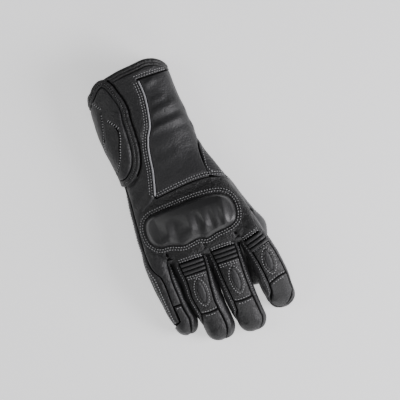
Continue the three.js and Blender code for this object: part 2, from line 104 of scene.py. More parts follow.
# Shell of the cuff, the hand, the fingers and the thumb
# Black backing cloth with its lining, about 2 mm thick together, sewn into one hollow body under all the
# leather. It is one skin over the sections of the hand and its fingers, opened at the mouth of the cuff.
MIDDLE = np.array([3.2, 0.4, 0.0])      # the row frame's origin in the glove's plan
HAND_ROUNDNESS = 2.4
DIGIT_ROUNDNESS = 2.2
CUFF_FLOOR = 4.6        # the cuff is flat underneath at this height
WALL = 2.0
SKIN_CELL = 1.3         # grain of the one skin
TUBE_STEP = 1.5         # from ring to ring along a finger or the hand
TIP_STEPS = 9           # rings round a tip
TIP_SLOPE = 0.75        # a tip goes on downwards at this share of the slope before it
TIP_BLUNTNESS = 0.75    # from 0 for a flat end to 1 for a round one
SECTIONS = {    # y, middle x, middle z, half width, half height, rise towards the thumb side
    "hand": [
        (160, -18.6, 24.2, 41.8, 22.8, 0), (150, -18.6, 24.2, 41.8, 22.8, 0),
        (104, -18.2, 23.7, 42.3, 22.1, 0), (88, -17.4, 23.9, 43.3, 22.5, 0),
        (79, -16.8, 23.6, 43.5, 22.0, 0), (71, -16.0, 23.6, 43.5, 21.9, 0), (60, -14.9, 23.0, 43.1, 21.2, 0),
        (44, -12.6, 23.0, 43.1, 20.3, 0.01), (26, -9.2, 24.8, 46.0, 19.5, 0.04),
        (5, -6.7, 27.4, 50.7, 18.3, 0.08), (-12, -4.8, 30.2, 54.2, 17.5, 0.12),
        (-30, -2.6, 33.2, 57.4, 16.6, 0.155), (-44, -1.4, 34.5, 59.0, 15.4, 0.17)],
    "little": [
        (-28, -49.0, 27.0, 8.0, 9.0, 0.1), (-42, -50.2, 26.8, 10.6, 12.4, 0.1),
        (-58, -49.5, 26.0, 11.9, 13.0, 0.08), (-74, -47.3, 23.4, 12.7, 12.6, 0.05),
        (-92, -45.6, 18.8, 12.0, 12.0, 0.02), (-105, -44.0, 15.0, 11.7, 11.6, 0),
        (-113, -42.2, 12.6, 11.4, 11.4, 0)],
    "ring": [
        (-26, -17.5, 31.0, 10.0, 11.0, 0.1), (-42, -18.0, 32.0, 16.0, 14.0, 0.1),
        (-58, -17.6, 31.8, 17.6, 14.0, 0.08), (-74, -16.2, 30.0, 16.7, 13.2, 0.05),
        (-94, -15.8, 25.6, 16.1, 12.6, 0.02), (-112, -13.7, 19.0, 14.8, 12.2, 0),
        (-123, -11.8, 14.4, 14.1, 12.0, 0), (-131, -11.1, 11.9, 13.8, 11.8, 0)],
    "middle": [
        (-26, 17.0, 36.0, 10.0, 11.0, 0.1), (-42, 17.2, 37.2, 14.5, 14.0, 0.1),
        (-58, 17.3, 37.0, 15.6, 14.2, 0.08), (-74, 17.5, 35.4, 14.9, 13.4, 0.05),
        (-94, 18.0, 30.6, 14.3, 12.8, 0.02), (-112, 19.0, 23.0, 14.2, 12.3, 0),
        (-126, 20.6, 15.6, 13.6, 12.0, 0), (-135, 22.1, 12.0, 12.9, 11.8, 0)],
    "index": [
        (-26, 46.5, 39.5, 6.0, 8.0, 0.1), (-42, 47.2, 41.6, 10.6, 12.2, 0.1),
        (-58, 49.0, 42.0, 12.6, 12.8, 0.08), (-72, 52.0, 40.2, 13.4, 12.4, 0.05),
        (-88, 54.4, 35.6, 14.0, 12.2, 0.02), (-102, 55.6, 28.6, 14.4, 12.0, 0),
        (-112, 56.2, 21.6, 13.8, 11.8, 0), (-118, 57.0, 17.0, 13.2, 11.6, 0)],
    "thumb": [
        (30, 22.0, 22.0, 9.0, 11.0, 0), (8, 32.0, 19.5, 12.6, 13.4, 0), (-12, 38.5, 17.6, 13.0, 14.2, 0),
        (-31, 45.0, 16.8, 13.6, 14.2, 0), (-46, 51.4, 15.6, 13.8, 13.4, 0), (-54, 50.8, 13.8, 13.6, 12.4, 0),
        (-64, 47.8, 12.0, 13.2, 11.6, 0), (-78, 43.8, 10.8, 12.8, 10.8, 0), (-92, 39.6, 9.9, 12.2, 10.0, 0)],
}
TIP_LENGTHS = {"hand": 13.5, "little": 16.0, "ring": 12.6, "middle": 11.6, "index": 15.6, "thumb": 11.0}
LIP = [     # the mouth of the cuff seen from above, the same on its back and its palm side
    (-70, 104), (-62, 106), (-60, 119), (-52, 133), (-42, 139.2), (-24, 142.9), (-7, 144.5), (3, 146),
    (11, 144.8), (18, 141.6), (22.3, 136.7), (24.2, 131.6), (25.6, 128.6), (34, 125)]


def through(knots, values, wanted):
    """Values at the wanted places of a smooth curve through values at rising knots."""
    knots, values = np.asarray(knots, float), np.asarray(values, float)
    wanted = np.clip(np.asarray(wanted, float), knots[0], knots[-1])
    slopes = np.gradient(values, knots, axis=0)
    left = np.clip(np.searchsorted(knots, wanted, side="right") - 1, 0, len(knots) - 2)
    gap = knots[left + 1] - knots[left]
    t = (wanted - knots[left]) / gap
    if values.ndim > 1:
        gap, t = gap[:, None], t[:, None]
    start = (2 * t ** 3 - 3 * t ** 2 + 1) * values[left] + (t ** 3 - 2 * t ** 2 + t) * gap * slopes[left]
    end = (3 * t ** 2 - 2 * t ** 3) * values[left + 1] + (t ** 3 - t ** 2) * gap * slopes[left + 1]
    return start + end


def section_at(name, y):
    """Middle x and z, half width, half height and rise of a hand or finger at each y."""
    rows = np.array(SECTIONS[name][::-1], float)
    return through(rows[:, 0], rows[:, 1:], y).T


def lip_y(x):
    """Where the mouth of the cuff lies at each x."""
    rows = np.array(LIP, float)
    return np.interp(x, rows[:, 0], rows[:, 1])


def rounded(turn, roundness):
    """Across and up on a unit superellipse."""
    across, up = np.cos(turn), np.sin(turn)
    return (np.sign(across) * np.abs(across) ** (2 / roundness), np.sign(up) * np.abs(up) ** (2 / roundness))


def tube(name, segments):
    """Points and faces of one closed tube through its sections, with a round end."""
    rows = SECTIONS[name]
    ys = np.arange(rows[0][0], rows[-1][0] - 0.01, -TUBE_STEP)
    middle_x, middle_z, half_width, half_height, rise = section_at(name, ys)
    fall = (middle_z[-2] - middle_z[-1]) / TUBE_STEP
    turns = 0.5 * math.pi * np.arange(1, TIP_STEPS + 1) / (TIP_STEPS + 0.35)
    into_tip = np.concatenate([np.zeros(len(ys)), np.sin(turns)])
    ys = np.concatenate([ys, ys[-1] - TIP_LENGTHS[name] * np.sin(turns)])
    shrink = np.concatenate([np.ones(len(middle_x)), np.cos(turns) ** TIP_BLUNTNESS])
    pad = (0, TIP_STEPS)
    middle_x, middle_z, rise = (np.pad(row, pad, mode="edge") for row in (middle_x, middle_z, rise))
    half_width, half_height = (np.pad(row, pad, mode="edge") * shrink for row in (half_width, half_height))
    middle_z = middle_z - TIP_SLOPE * fall * TIP_LENGTHS[name] * into_tip
    turn = 2 * math.pi * np.arange(segments) / segments
    across, up = rounded(turn, HAND_ROUNDNESS if name == "hand" else DIGIT_ROUNDNESS)
    x = middle_x[:, None] + half_width[:, None] * across
    z = middle_z[:, None] + half_height[:, None] * up + rise[:, None] * half_width[:, None] * across
    z = np.maximum(z, CUFF_FLOOR if name == "hand" else 0.0)
    points = np.stack([x, np.repeat(ys[:, None], segments, axis=1), z], axis=-1).reshape(-1, 3)
    last = (len(ys) - 1) * segments
    faces = [tuple(range(segments))[::-1], tuple(range(last, last + segments))]
    for row in range(len(ys) - 1):
        for i in range(segments):
            p, q = row * segments + i, row * segments + (i + 1) % segments
            faces.append((p, q, q + segments, p + segments))
    return points, faces


def plain_mesh(name, points, faces):
    mesh = bpy.data.meshes.new(name)
    mesh.from_pydata(np.asarray(points).tolist(), [], faces)
    mesh.update()
    return mesh


def baked(name, thing):
    """The plain mesh of a thing with its modifiers."""
    settled = thing.evaluated_get(bpy.context.evaluated_depsgraph_get())
    mesh = bpy.data.meshes.new_from_object(settled)
    mesh.name = name
    return mesh


def skin_mesh():
    """One soft skin over the hand, the fingers and the thumb, closed at the mouth of the cuff."""
    points, faces, count = [], [], 0
    for name in SECTIONS:
        tube_points, tube_faces = tube(name, 96 if name == "hand" else 48)
        points.append(tube_points)
        faces += [tuple(i + count for i in face) for face in tube_faces]
        count += len(tube_points)
    work = bpy.data.objects.new("glove_skin_work", plain_mesh("glove_skin_work", np.vstack(points), faces))
    bpy.context.collection.objects.link(work)
    remesh = work.modifiers.new("one skin", "REMESH")
    remesh.mode = "VOXEL"
    remesh.voxel_size = SKIN_CELL
    soften = work.modifiers.new("soften", "SMOOTH")
    soften.factor = 0.5
    soften.iterations = 8
    mesh = baked("glove_skin", work)
    bpy.data.objects.remove(work)
    return mesh


def corners_of(mesh):
    points = np.empty(len(mesh.vertices) * 3, dtype=np.float32)
    mesh.vertices.foreach_get("co", points)
    return points.reshape(-1, 3).astype(float)


def triangles_of(mesh):
    mesh.calc_loop_triangles()
    triangles = np.empty(len(mesh.loop_triangles) * 3, dtype=np.int32)
    mesh.loop_triangles.foreach_get("vertices", triangles)
    return triangles.reshape(-1, 3)


def mix_of(nodes, links, kind, a, b, factor):
    """A Mix node of the given kind, whose inputs are values or sockets."""
    mix = nodes.new("ShaderNodeMix")
    mix.data_type = kind
    first = {"FLOAT": 2, "RGBA": 6}[kind]
    for index, value in ((0, factor), (first, a), (first + 1, b)):
        if isinstance(value, bpy.types.NodeSocket):
            links.new(value, mix.inputs[index])
        else:
            mix.inputs[index].default_value = value
    return mix.outputs[{"FLOAT": 0, "RGBA": 2}[kind]]


def hide(name, colour, worn, rough, grain, depth, shine=0.5, sheen=0.0):
    """Leather finish: pebbles one grain wide, raised by depth, and cloudy colour, lighter at worn edges."""
    finish = bpy.data.materials.new(name)
    finish.use_nodes = True
    nodes, links = finish.node_tree.nodes, finish.node_tree.links
    shader = nodes["Principled BSDF"]
    where = nodes.new("ShaderNodeTexCoord").outputs["Object"]

    def toned(share):
        return (*[share * c for c in colour], 1)

    def texture(kind, scale, **settings):
        made = nodes.new(kind)
        links.new(where, made.inputs["Vector"])
        made.inputs["Scale"].default_value = scale
        for key, value in settings.items():
            made.inputs[key].default_value = value
        return made

    clouds = texture("ShaderNodeTexNoise", 55, Detail=3.0, Roughness=0.6).outputs["Fac"]
    pores = texture("ShaderNodeTexNoise", 2.2 / grain, Detail=2.0, Roughness=0.6).outputs["Fac"]
    cells = texture("ShaderNodeTexVoronoi", 1.0 / grain, Randomness=0.9)
    cells.feature = "SMOOTH_F1"
    cells.inputs["Smoothness"].default_value = 0.35
    edge = nodes.new("ShaderNodeAttribute")
    edge.attribute_name = "edge"
    cloudy = mix_of(nodes, links, "RGBA", toned(0.82), toned(1.2), clouds)
    between = mix_of(nodes, links, "RGBA", cloudy, toned(0.72), cells.outputs["Distance"])
    worn_part = nodes.new("ShaderNodeMath")
    worn_part.operation = "MULTIPLY"
    links.new(edge.outputs["Fac"], worn_part.inputs[0])
    links.new(clouds, worn_part.inputs[1])
    coloured = mix_of(nodes, links, "RGBA", between, (*worn, 1), worn_part.outputs[0])
    links.new(coloured, shader.inputs["Base Color"])
    links.new(mix_of(nodes, links, "FLOAT", rough - 0.07, rough + 0.09, pores), shader.inputs["Roughness"])
    shader.inputs["Specular IOR Level"].default_value = shine
    shader.inputs["Sheen Weight"].default_value = sheen
    shader.inputs["Sheen Roughness"].default_value = 0.5
    swells = texture("ShaderNodeTexNoise", 0.42 / grain, Detail=2.0, Roughness=0.55).outputs["Fac"]
    fine = mix_of(nodes, links, "FLOAT", cells.outputs["Distance"], pores, 0.3)
    height = mix_of(nodes, links, "FLOAT", fine, swells, 0.5)
    bump = nodes.new("ShaderNodeBump")
    bump.invert = True
    bump.inputs["Strength"].default_value = 0.8
    bump.inputs["Distance"].default_value = depth
    links.new(height, bump.inputs["Height"])
    links.new(bump.outputs["Normal"], shader.inputs["Normal"])
    return finish


BACKING = hide("black_backing", (0.004, 0.004, 0.004), (0.004, 0.004, 0.004), 0.9, 0.0008, 0.0001, shine=0.1)
LINING = hide("lining_fleece", (0.012, 0.012, 0.013), (0.012, 0.012, 0.013), 0.9, 0.0006, 0.0003, shine=0.1,
              sheen=0.3)

PRESSED = 0.5       # what would come lower than this is pressed flat on the sheet
laid = {}           # points in the plan and triangles of every finished piece


def finished(name, points, faces, finishes, edge=None, nodes=(), keep=True):
    """A finished piece from points in the plan: its faces outwards, its finish and its body."""
    points = np.array(points, float)
    low = points[:, 2] < PRESSED
    points[low, 2] = PRESSED * np.exp((points[low, 2] - PRESSED) / PRESSED)
    mesh = plain_mesh(name, (points - MIDDLE) * 0.001, faces)
    triangles = triangles_of(mesh)
    a, b, c = (points[triangles[:, i]] for i in range(3))
    if np.einsum("ij,ij->i", a, np.cross(b, c)).sum() < 0:
        mesh.flip_normals()
        triangles = triangles[:, ::-1]
    mesh.polygons.foreach_set("use_smooth", np.ones(len(mesh.polygons), dtype=bool))
    if edge is not None:
        mesh.attributes.new("edge", "FLOAT", "POINT").data.foreach_set("value", np.asarray(edge, np.float32))
    for finish in finishes:
        mesh.materials.append(finish)
    piece = bpy.data.objects.new(name, mesh)
    bpy.context.collection.objects.link(piece)
    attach(piece, "root")
    if nodes:
        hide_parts(*nodes)
    if keep:
        laid[name] = (points, triangles)
    return piece


def opened_at_lip(mesh):
    """Cuts the skin along the lip, by sliding it until the lip is level."""
    cut = bmesh.new()
    cut.from_mesh(mesh)
    for corner in cut.verts:
        corner.co.y -= float(lip_y(corner.co.x))
    bmesh.ops.bisect_plane(cut, geom=cut.verts[:] + cut.edges[:] + cut.faces[:], dist=1e-4,
                           plane_co=(0, 0, 0), plane_no=(0, 1, 0), clear_outer=True)
    for corner in cut.verts:
        corner.co.y += float(lip_y(corner.co.x))
    opened = bpy.data.meshes.new("opened_skin")
    cut.to_mesh(opened)
    cut.free()
    return opened


glove_skin_mesh = skin_mesh()
shell_skin = opened_at_lip(glove_skin_mesh)
shell_work = bpy.data.objects.new("shell_work", shell_skin)
bpy.context.collection.objects.link(shell_work)
shell_wall = shell_work.modifiers.new("wall", "SOLIDIFY")
shell_wall.thickness = WALL
shell_wall.offset = -1
shell_wall.use_rim = True
shell_wall.material_offset = 1
shell_skin.materials.append(BACKING)
shell_skin.materials.append(LINING)
shell_mesh = baked("glove_shell", shell_work)
bpy.data.objects.remove(shell_work)
shell_inside = [polygon.material_index for polygon in shell_mesh.polygons]
shell_faces = [tuple(polygon.vertices) for polygon in shell_mesh.polygons]
shell = finished("glove_shell", corners_of(shell_mesh), shell_faces, [BACKING, LINING],
                 nodes=("gauntlet", "hand_back", "hand_palm", "little_finger", "ring_finger", "middle_finger",
                        "index_finger", "thumb"), keep=False)
shell.data.polygons.foreach_set("material_index", shell_inside)
shell.data.update()

# Panel over the back of the cuff
# Soft smooth leather over thin foam, sewn on from the piping to the thumb side and down to the foot seam.
# It lies in low folds across the wrist.
PIPING = [(-8, 127.5), (-7.6, 124), (-6.9, 112), (-8, 100), (-9.6, 90), (-12.2, 80), (-17, 71), (-20, 62),
          (-21.6, 53), (-23.5, 38), (-25.4, 29), (-27.6, 20), (-29.4, 13.5)]
FOOT_SEAM = [(-29.4, 12.8), (-16, 14.6), (0, 16.4), (14, 17.2), (27, 16.4), (36, 13.6), (43, 10.4)]
OVERHEAD, OVERHEAD_REACH = 120.0, 90.0      # height at which rays from above start, and their reach
LEATHER_STEP = 1.3      # from point to point along the edge of leather and over it
EDGE_WIDTH = 1.1        # how far a welt and the wear at an edge reach
UNEVEN_SIZE = 9.0       # length of the gentle unevenness of leather
SOFT_LEATHER = hide("soft_leather", (0.027, 0.027, 0.0285), (0.05, 0.05, 0.052), 0.51, 0.0019, 0.0008)


def unit(vectors):
    return vectors / np.maximum(np.linalg.norm(vectors, axis=-1, keepdims=True), 1e-9)


def skin_of(points, triangles):
    """A surface to lay outlines on: its points, their normals, its triangles and a search tree."""
    points, triangles = np.asarray(points, float), np.asarray(triangles, int)
    a, b, c = (points[triangles[:, i]] for i in range(3))
    across = np.cross(b - a, c - a)
    normals = np.zeros_like(points)
    for i in range(3):
        np.add.at(normals, triangles[:, i], across)
    return points, unit(normals), triangles, BVHTree.FromPolygons(points.tolist(), triangles.tolist())


def land(skin, starts, ways, reach):
    """Where rays meet a skin, with the soft normal there. One that misses takes the nearest place."""
    points, normals, triangles, tree = skin
    ways = unit(ways)
    landed, met = np.empty_like(starts), np.empty(len(starts), int)
    for i, (start, way) in enumerate(zip(starts.tolist(), ways.tolist())):
        place, _, index, _ = tree.ray_cast(start, way, 2.0 * float(reach[i]))
        if place is None:
            place, _, index, _ = tree.find_nearest([s + w * float(reach[i]) for s, w in zip(start, way)])
        landed[i], met[i] = place, index
    a, b, c = (points[triangles[met, k]] for k in range(3))
    whole = np.linalg.norm(np.cross(b - a, c - a), axis=1)
    parts = [np.linalg.norm(np.cross(p - landed, q - landed), axis=1) / np.maximum(whole, 1e-9)
             for p, q in ((b, c), (c, a), (a, b))]
    soft = sum(part[:, None] * normals[triangles[met, k]] for k, part in enumerate(parts))
    return landed, unit(soft)


def same_way(skin, starts, way, reach):
    """Lays points on a skin along rays that all run one way."""
    return land(skin, starts, np.tile(way, (len(starts), 1)), np.full(len(starts), reach))


def above(skin):
    """Lays plan outlines on a skin from above."""
    def place(plan):
        starts = np.column_stack([plan, np.full(len(plan), OVERHEAD)])
        return same_way(skin, starts, (0.0, 0.0, -1.0), OVERHEAD_REACH)
    return place


glove_skin = skin_of(corners_of(glove_skin_mesh), triangles_of(glove_skin_mesh))
on_back = above(glove_skin)


def curve(points, step):
    """Even points along a smooth curve through the given ones."""
    points = np.asarray(points, float)
    lengths = np.concatenate([[0], np.cumsum(np.linalg.norm(np.diff(points, axis=0), axis=1))])
    if len(points) > 2:
        points = through(lengths, points, np.linspace(0, lengths[-1], 12 * len(points)))
    lengths = np.concatenate([[0], np.cumsum(np.linalg.norm(np.diff(points, axis=0), axis=1))])
    count = max(2, int(round(lengths[-1] / step)) + 1)
    wanted = np.linspace(0, lengths[-1], count)
    return np.column_stack([np.interp(wanted, lengths, points[:, i]) for i in range(points.shape[1])])


def outline(*sides, step=LEATHER_STEP):
    """A closed outline of smooth sides, with a corner between each and the next."""
    sides = [np.asarray(side, float) for side in sides]
    joined = []
    for side, after in zip(sides, sides[1:] + sides[:1]):
        joined.append(curve(side, step)[:-1])
        if np.linalg.norm(side[-1] - after[0]) > 0.2:
            joined.append(curve([side[-1], after[0]], step)[:-1])
    return np.vstack(joined)


def beside(line, distance):
    """A line moved to the left of its direction."""
    line = np.asarray(line, float)
    ways = unit(np.gradient(line, axis=0))
    return line + distance * np.column_stack([-ways[:, 1], ways[:, 0]])


def gap_to(points, line, closed=False):
    """Distance of each point from a line of short stretches."""
    starts = line if closed else line[:-1]
    ways = (np.roll(line, -1, axis=0) - line) if closed else np.diff(line, axis=0)
    squares = np.maximum((ways ** 2).sum(axis=1), 1e-9)
    gaps = []
    for block in np.array_split(points, len(points) // 1500 + 1):
        away = block[:, None] - starts[None]
        part = np.clip((away * ways).sum(axis=2) / squares, 0, 1)
        gaps.append(np.linalg.norm(away - part[..., None] * ways, axis=2).min(axis=1))
    return np.concatenate(gaps)


def within(points, loop):
    """Which points lie inside a closed loop."""
    x, y = points[:, 0], points[:, 1]
    inside = np.zeros(len(points), bool)
    for (ax, ay), (bx, by) in zip(loop, np.roll(loop, -1, axis=0)):
        if ay != by:
            inside ^= ((ay > y) != (by > y)) & (x < (bx - ax) * (y - ay) / (by - ay) + ax)
    return inside


def wander(points, size, amount):
    """Gentle unevenness of hand-cut leather, the same each run."""
    return amount * np.array([noise.noise(Vector(point) / size) for point in points.tolist()])


def quarter(part):
    """The height of a rolled edge, from 0 to 1."""
    return np.sqrt(1 - (1 - np.clip(part, 0, 1)) ** 2)


def panel(name, loop, place, thick, roll, finish, nodes=(), grid=LEATHER_STEP, relief=None,
          sunk=0.3, uneven=0.12, rings=None, hole=None, welt=0.0):
    """A piece of leather cut to a closed outline and laid by place, with its edges rolled down to the seam.
    Rings are the distances from its edge at which it is shaped, and a hole is an outline inside it."""
    next_points = np.roll(loop, -1, axis=0)
    inward = -1 if np.sum(loop[:, 0] * next_points[:, 1] - next_points[:, 0] * loop[:, 1]) < 0 else 1
    ways = unit(next_points - np.roll(loop, 1, axis=0))
    shaped = []
    for distance in rings or (0.22 * roll, 0.55 * roll, roll):
        ring = loop + inward * distance * np.column_stack([-ways[:, 1], ways[:, 0]])
        ring = ring[within(ring, loop)]
        shaped.append(ring[gap_to(ring, loop, closed=True) > 0.9 * distance] if len(ring) else ring)
    if rings is None:
        low, high = loop.min(axis=0), loop.max(axis=0)
        columns, rows = np.meshgrid(np.arange(low[0], high[0], grid), np.arange(low[1], high[1], 0.87 * grid))
        columns = columns + 0.5 * grid * (np.arange(len(rows)) % 2)[:, None]
        field = np.column_stack([columns.ravel(), rows.ravel()])
        field = field[within(field, loop)]
        if len(field):
            shaped.append(field[gap_to(field, loop, closed=True) > roll + 0.45 * grid])
    flat = np.vstack(shaped)
    rims = [loop]
    if hole is not None:
        flat = flat[~within(flat, hole)]
        flat = flat[gap_to(flat, hole, closed=True) > 0.25]
        rims.append(hole)
    flat = np.vstack(rims + [flat])
    edges = []
    for rim in rims:
        start = len(edges)
        edges += [(start + i, start + (i + 1) % len(rim)) for i in range(len(rim))]
    places = [Vector(point) for point in flat.tolist()]
    corners, _, triangles, *_ = geometry.delaunay_2d_cdt(places, edges, [], 1, 1e-6)
    flat = np.array([tuple(corner) for corner in corners])
    triangles = np.array([tuple(triangle) for triangle in triangles])
    if hole is not None:
        triangles = triangles[~within(flat[triangles].mean(axis=1), hole)]
    sides = np.sort(np.vstack([triangles[:, [0, 1]], triangles[:, [1, 2]], triangles[:, [2, 0]]]), axis=1)
    pairs, uses = np.unique(sides, axis=0, return_counts=True)
    rim = np.zeros(len(flat), bool)
    rim[pairs[uses == 1].ravel()] = True
    used = np.zeros(len(flat), bool)
    used[triangles.ravel()] = True
    new_index = np.cumsum(used) - 1
    flat, rim, triangles = flat[used], rim[used], new_index[triangles]
    base, normal = place(flat)
    inset = gap_to(flat, loop, closed=True)
    if hole is not None:
        inset = np.minimum(inset, gap_to(flat, hole, closed=True))
    inset = np.where(rim, 0.0, inset)
    height = -sunk + (thick + sunk) * quarter(inset / roll)
    height = height + welt * np.exp(-((inset - roll) / EDGE_WIDTH) ** 2)
    soft = np.clip(inset / (roll + 1.5), 0, 1)
    if relief is not None:
        height = height + soft * relief(flat, inset)
    height = height + soft * wander(base, UNEVEN_SIZE, uneven)
    top = base + normal * height[:, None]
    under = base - normal * sunk
    below_index = np.where(rim, np.arange(len(flat)), len(flat) + np.cumsum(~rim) - 1)
    points = np.vstack([top, under[~rim]])
    faces = [tuple(three) for three in np.vstack([triangles, below_index[triangles[:, ::-1]]]).tolist()]
    edge = np.concatenate([np.exp(-inset / EDGE_WIDTH), np.zeros(int((~rim).sum()))])
    return finished(name, points, faces, [finish], edge, nodes)


def wrinkles(plan, across, along, amount):
    """Shallow wrinkles of soft leather, wider one way than the other."""
    spots = np.column_stack([plan[:, 0] / across, plan[:, 1] / along, np.full(len(plan), 0.37)])
    return amount * np.array([noise.noise(Vector(spot)) for spot in spots.tolist()])


def fold(plan, start, end, width, height):
    """A soft ridge or, with a negative height, a crease along a short line."""
    return height * np.exp(-(gap_to(plan, curve([start, end], 2.0)) / width) ** 2)


def folds(plan, given):
    """Several ridges and creases together."""
    return sum(fold(plan, *each) for each in given)


def puffed(inset, height, reach):
    """How high padding lifts leather, from nothing at the seam."""
    return height * (1 - np.exp(-inset / reach))


def groove(plan, lines, depth=0.45, width=0.9):
    """The dip that a row of stitches pulls into leather."""
    return -depth * sum(np.exp(-(gap_to(plan, line) / width) ** 2) for line in lines)


CUFF_PANEL_RIGHT = [(23.4, 128.6), (24.4, 112), (25.9, 94), (27.4, 76), (28.4, 62), (28.8, 55), (27, 48.6),
                    (26.2, 36), (27.4, 20), (27.6, 15)]
WRIST_FOLDS = [((-13, 76.5), (24, 80.5), 4.0, 1.0), ((-6, 91.5), (22, 97), 4.0, 0.75)]
CUFF_FOLDS = [((-10, 85.5), (25, 87), 3.2, -0.7), ((-4, 121), (4, 124), 3.4, 1.1),
              ((-3, 103), (8, 105), 3.6, 0.8), ((-14, 70.5), (25, 72), 3.4, -0.6),
              ((-16, 59), (6, 61), 5.0, 0.9), ((-18, 42), (4, 46), 6.0, 0.9)]
foot_line = curve(FOOT_SEAM, LEATHER_STEP)
foot_rows = [beside(foot_line, 0.2), beside(foot_line, 2.5)]
piping_line = curve(PIPING, LEATHER_STEP)
cuff_panel_loop = outline(beside(curve(PIPING, 6.0), 1.0), beside(curve(FOOT_SEAM[:5], 5.0), -1.7),
                          CUFF_PANEL_RIGHT[::-1], [(23.4, 128.6), (-7, 128.4)])


def cuff_panel_relief(plan, inset):
    fade = np.interp(plan[:, 0], [-12, -2, 8, 24], [2.2, 2.0, 1.5, 0.8])
    creased = fade * folds(plan, WRIST_FOLDS) + folds(plan, CUFF_FOLDS)
    creased = creased + wrinkles(plan, 14, 7, 0.3) + wrinkles(plan, 5, 5, 0.08)
    return puffed(inset, 0.9, 7) + creased + groove(plan, foot_rows, 0.5)


panel("cuff_panel_leather", cuff_panel_loop, on_back, 1.4, 1.6, SOFT_LEATHER,
      nodes=("cuff_panel",), relief=cuff_panel_relief)

# Back leather
# One long piece of smooth cowhide from the mouth of the cuff, between the flap and the piping, down the
# little-finger side of the hand and on to the little finger. It is sewn to the cuff panel along the piping.
LEATHER = hide("smooth_leather", (0.022, 0.022, 0.023), (0.05, 0.05, 0.052), 0.45, 0.0017, 0.0011)
BACK_LEATHER_TOP = [(-46, 131), (-38, 133.4), (-24, 136), (-8, 137.6), (3, 139), (11, 137.8), (17, 135),
                    (20.6, 131.4)]
BACK_LEATHER_FOOT = [(-30.6, 12.2), (-36, 7.6), (-43.4, 3.4), (-50.4, -4.6), (-53.8, -14), (-53.9, -26),
                     (-50.8, -36), (-44.4, -43.4), (-38.6, -49.2)]
LITTLE_RIGHT_SEAM = [(-40.9, -55), (-42, -72), (-41, -90), (-40.6, -96.4)]
LITTLE_SIDE_SEAM = [(-54.3, 29), (-54.6, 16), (-56, -2), (-57.2, -22), (-57.8, -44), (-56.6, -54),
                    (-54.2, -60), (-51, -65), (-49.6, -72), (-49.1, -92)]
FLAP_EDGE = [(-39.5, 140.2), (-35, 134), (-30.8, 122.6), (-27.4, 109), (-27, 103), (-27.8, 97), (-28.2, 80),
             (-29, 65), (-31, 55), (-35, 45), (-40.5, 38.2), (-47, 33.4), (-52, 31.8)]
HAND_FOLDS = [((-44, 6), (-31, 13.5), 4.0, 1.6), ((-50, 24), (-34, 30), 7.0, 0.8),
              ((-50, 12), (-38, 20), 3.5, -0.6), ((-22, 104), (-14, 98), 5.0, 0.4)]
PIPING_FOLDS = [((-27, 77), (-15, 84), 4.0, 0.6), ((-28, 68), (-20, 72), 3.0, -0.6)]
back_leather_loop = outline(
    BACK_LEATHER_TOP, [(20.6, 129.4), (-9.2, 129.4)], beside(curve(PIPING[1:], 6.0), -1.0), BACK_LEATHER_FOOT,
    LITTLE_RIGHT_SEAM, [(-40.6, -96.4), (-48.6, -96.4)],
    [(x + 0.5, y) for x, y in LITTLE_SIDE_SEAM[::-1]], [(-51, 40), (-46, 60), (-44, 90), (-44, 118)])
piping_rows = [beside(piping_line, -2.7), beside(piping_line, -5.2)]
top_rows = [curve([(-10, 130.6), (4, 131.0), (22, 130.4)], LEATHER_STEP),
            curve([(-12, 132.8), (4, 133.2), (22.6, 132.2)], LEATHER_STEP)]


def back_leather_relief(plan, inset):
    lifted = puffed(inset, 0.5, 6) + wrinkles(plan, 7, 6, 0.35)
    lifted = lifted + folds(plan, HAND_FOLDS) + folds(plan, PIPING_FOLDS)
    under_flap = groove(plan, [beside(curve(FLAP_EDGE, 2.0), 0.9)], 1.6, 1.5)
    return lifted + groove(plan, piping_rows + top_rows) + under_flap


panel("back_leather", back_leather_loop, on_back, 1.3, 1.4, LEATHER,
      nodes=("little_panel",), relief=back_leather_relief)

# Reflective piping
# A light grey cord folded into a strip of reflective cloth and caught in the seam between the cuff panel
# and the back leather.
PIPE_RADIUS = 0.95
PIPE_HEIGHT = 1.55
PIPING_CLOTH = hide("reflective_cloth", (0.42, 0.42, 0.44), (0.5, 0.5, 0.52), 0.42, 0.0005, 0.00004,
                    shine=0.6)


def strip(name, line, place, profile, finish, nodes=(), closed_by=None, end_roll=1.0):
    """A band swept along a line. Its profile is a closed ring of places across it and heights."""
    line = np.asarray(line, float)
    if closed_by is None:
        ways = unit(np.gradient(line, axis=0))
        run = np.concatenate([[0], np.cumsum(np.linalg.norm(np.diff(line, axis=0), axis=1))])
        ends = quarter(np.minimum(run, run[-1] - run) / end_roll + 0.15)
    else:
        shift = np.array([closed_by, 0.0])
        ways = unit(np.gradient(np.vstack([line[-2:] - shift, line, line[:2] + shift]), axis=0))[2:-2]
        ends = np.ones(len(line))
    across = np.column_stack([-ways[:, 1], ways[:, 0]])
    middle = np.mean([height for _, height in profile])
    rings = []
    for side, height in profile:
        base, normal = place(line + across * (side * ends)[:, None])
        rings.append(base + normal * (middle + (height - middle) * ends)[:, None])
    count, steps = len(profile), len(line)
    points = np.stack(rings, axis=1).reshape(-1, 3)
    faces = []
    for row in range(steps - 1 if closed_by is None else steps):
        after = (row + 1) % steps
        for i in range(count):
            j = (i + 1) % count
            faces.append((row * count + i, row * count + j, after * count + j, after * count + i))
    if closed_by is None:
        faces += [tuple(range(count))[::-1], tuple(range((steps - 1) * count, steps * count))]
    return finished(name, points, faces, [finish], np.zeros(len(points)), nodes)


def round_profile(radius, height, sides=10):
    """A round cord whose middle runs at a height."""
    turns = 2 * math.pi * np.arange(sides) / sides
    return [(radius * math.cos(turn), height + radius * math.sin(turn)) for turn in turns]


strip("piping_cord", piping_line, on_back, round_profile(PIPE_RADIUS, PIPE_HEIGHT), PIPING_CLOTH,
      nodes=("reflective_piping",))

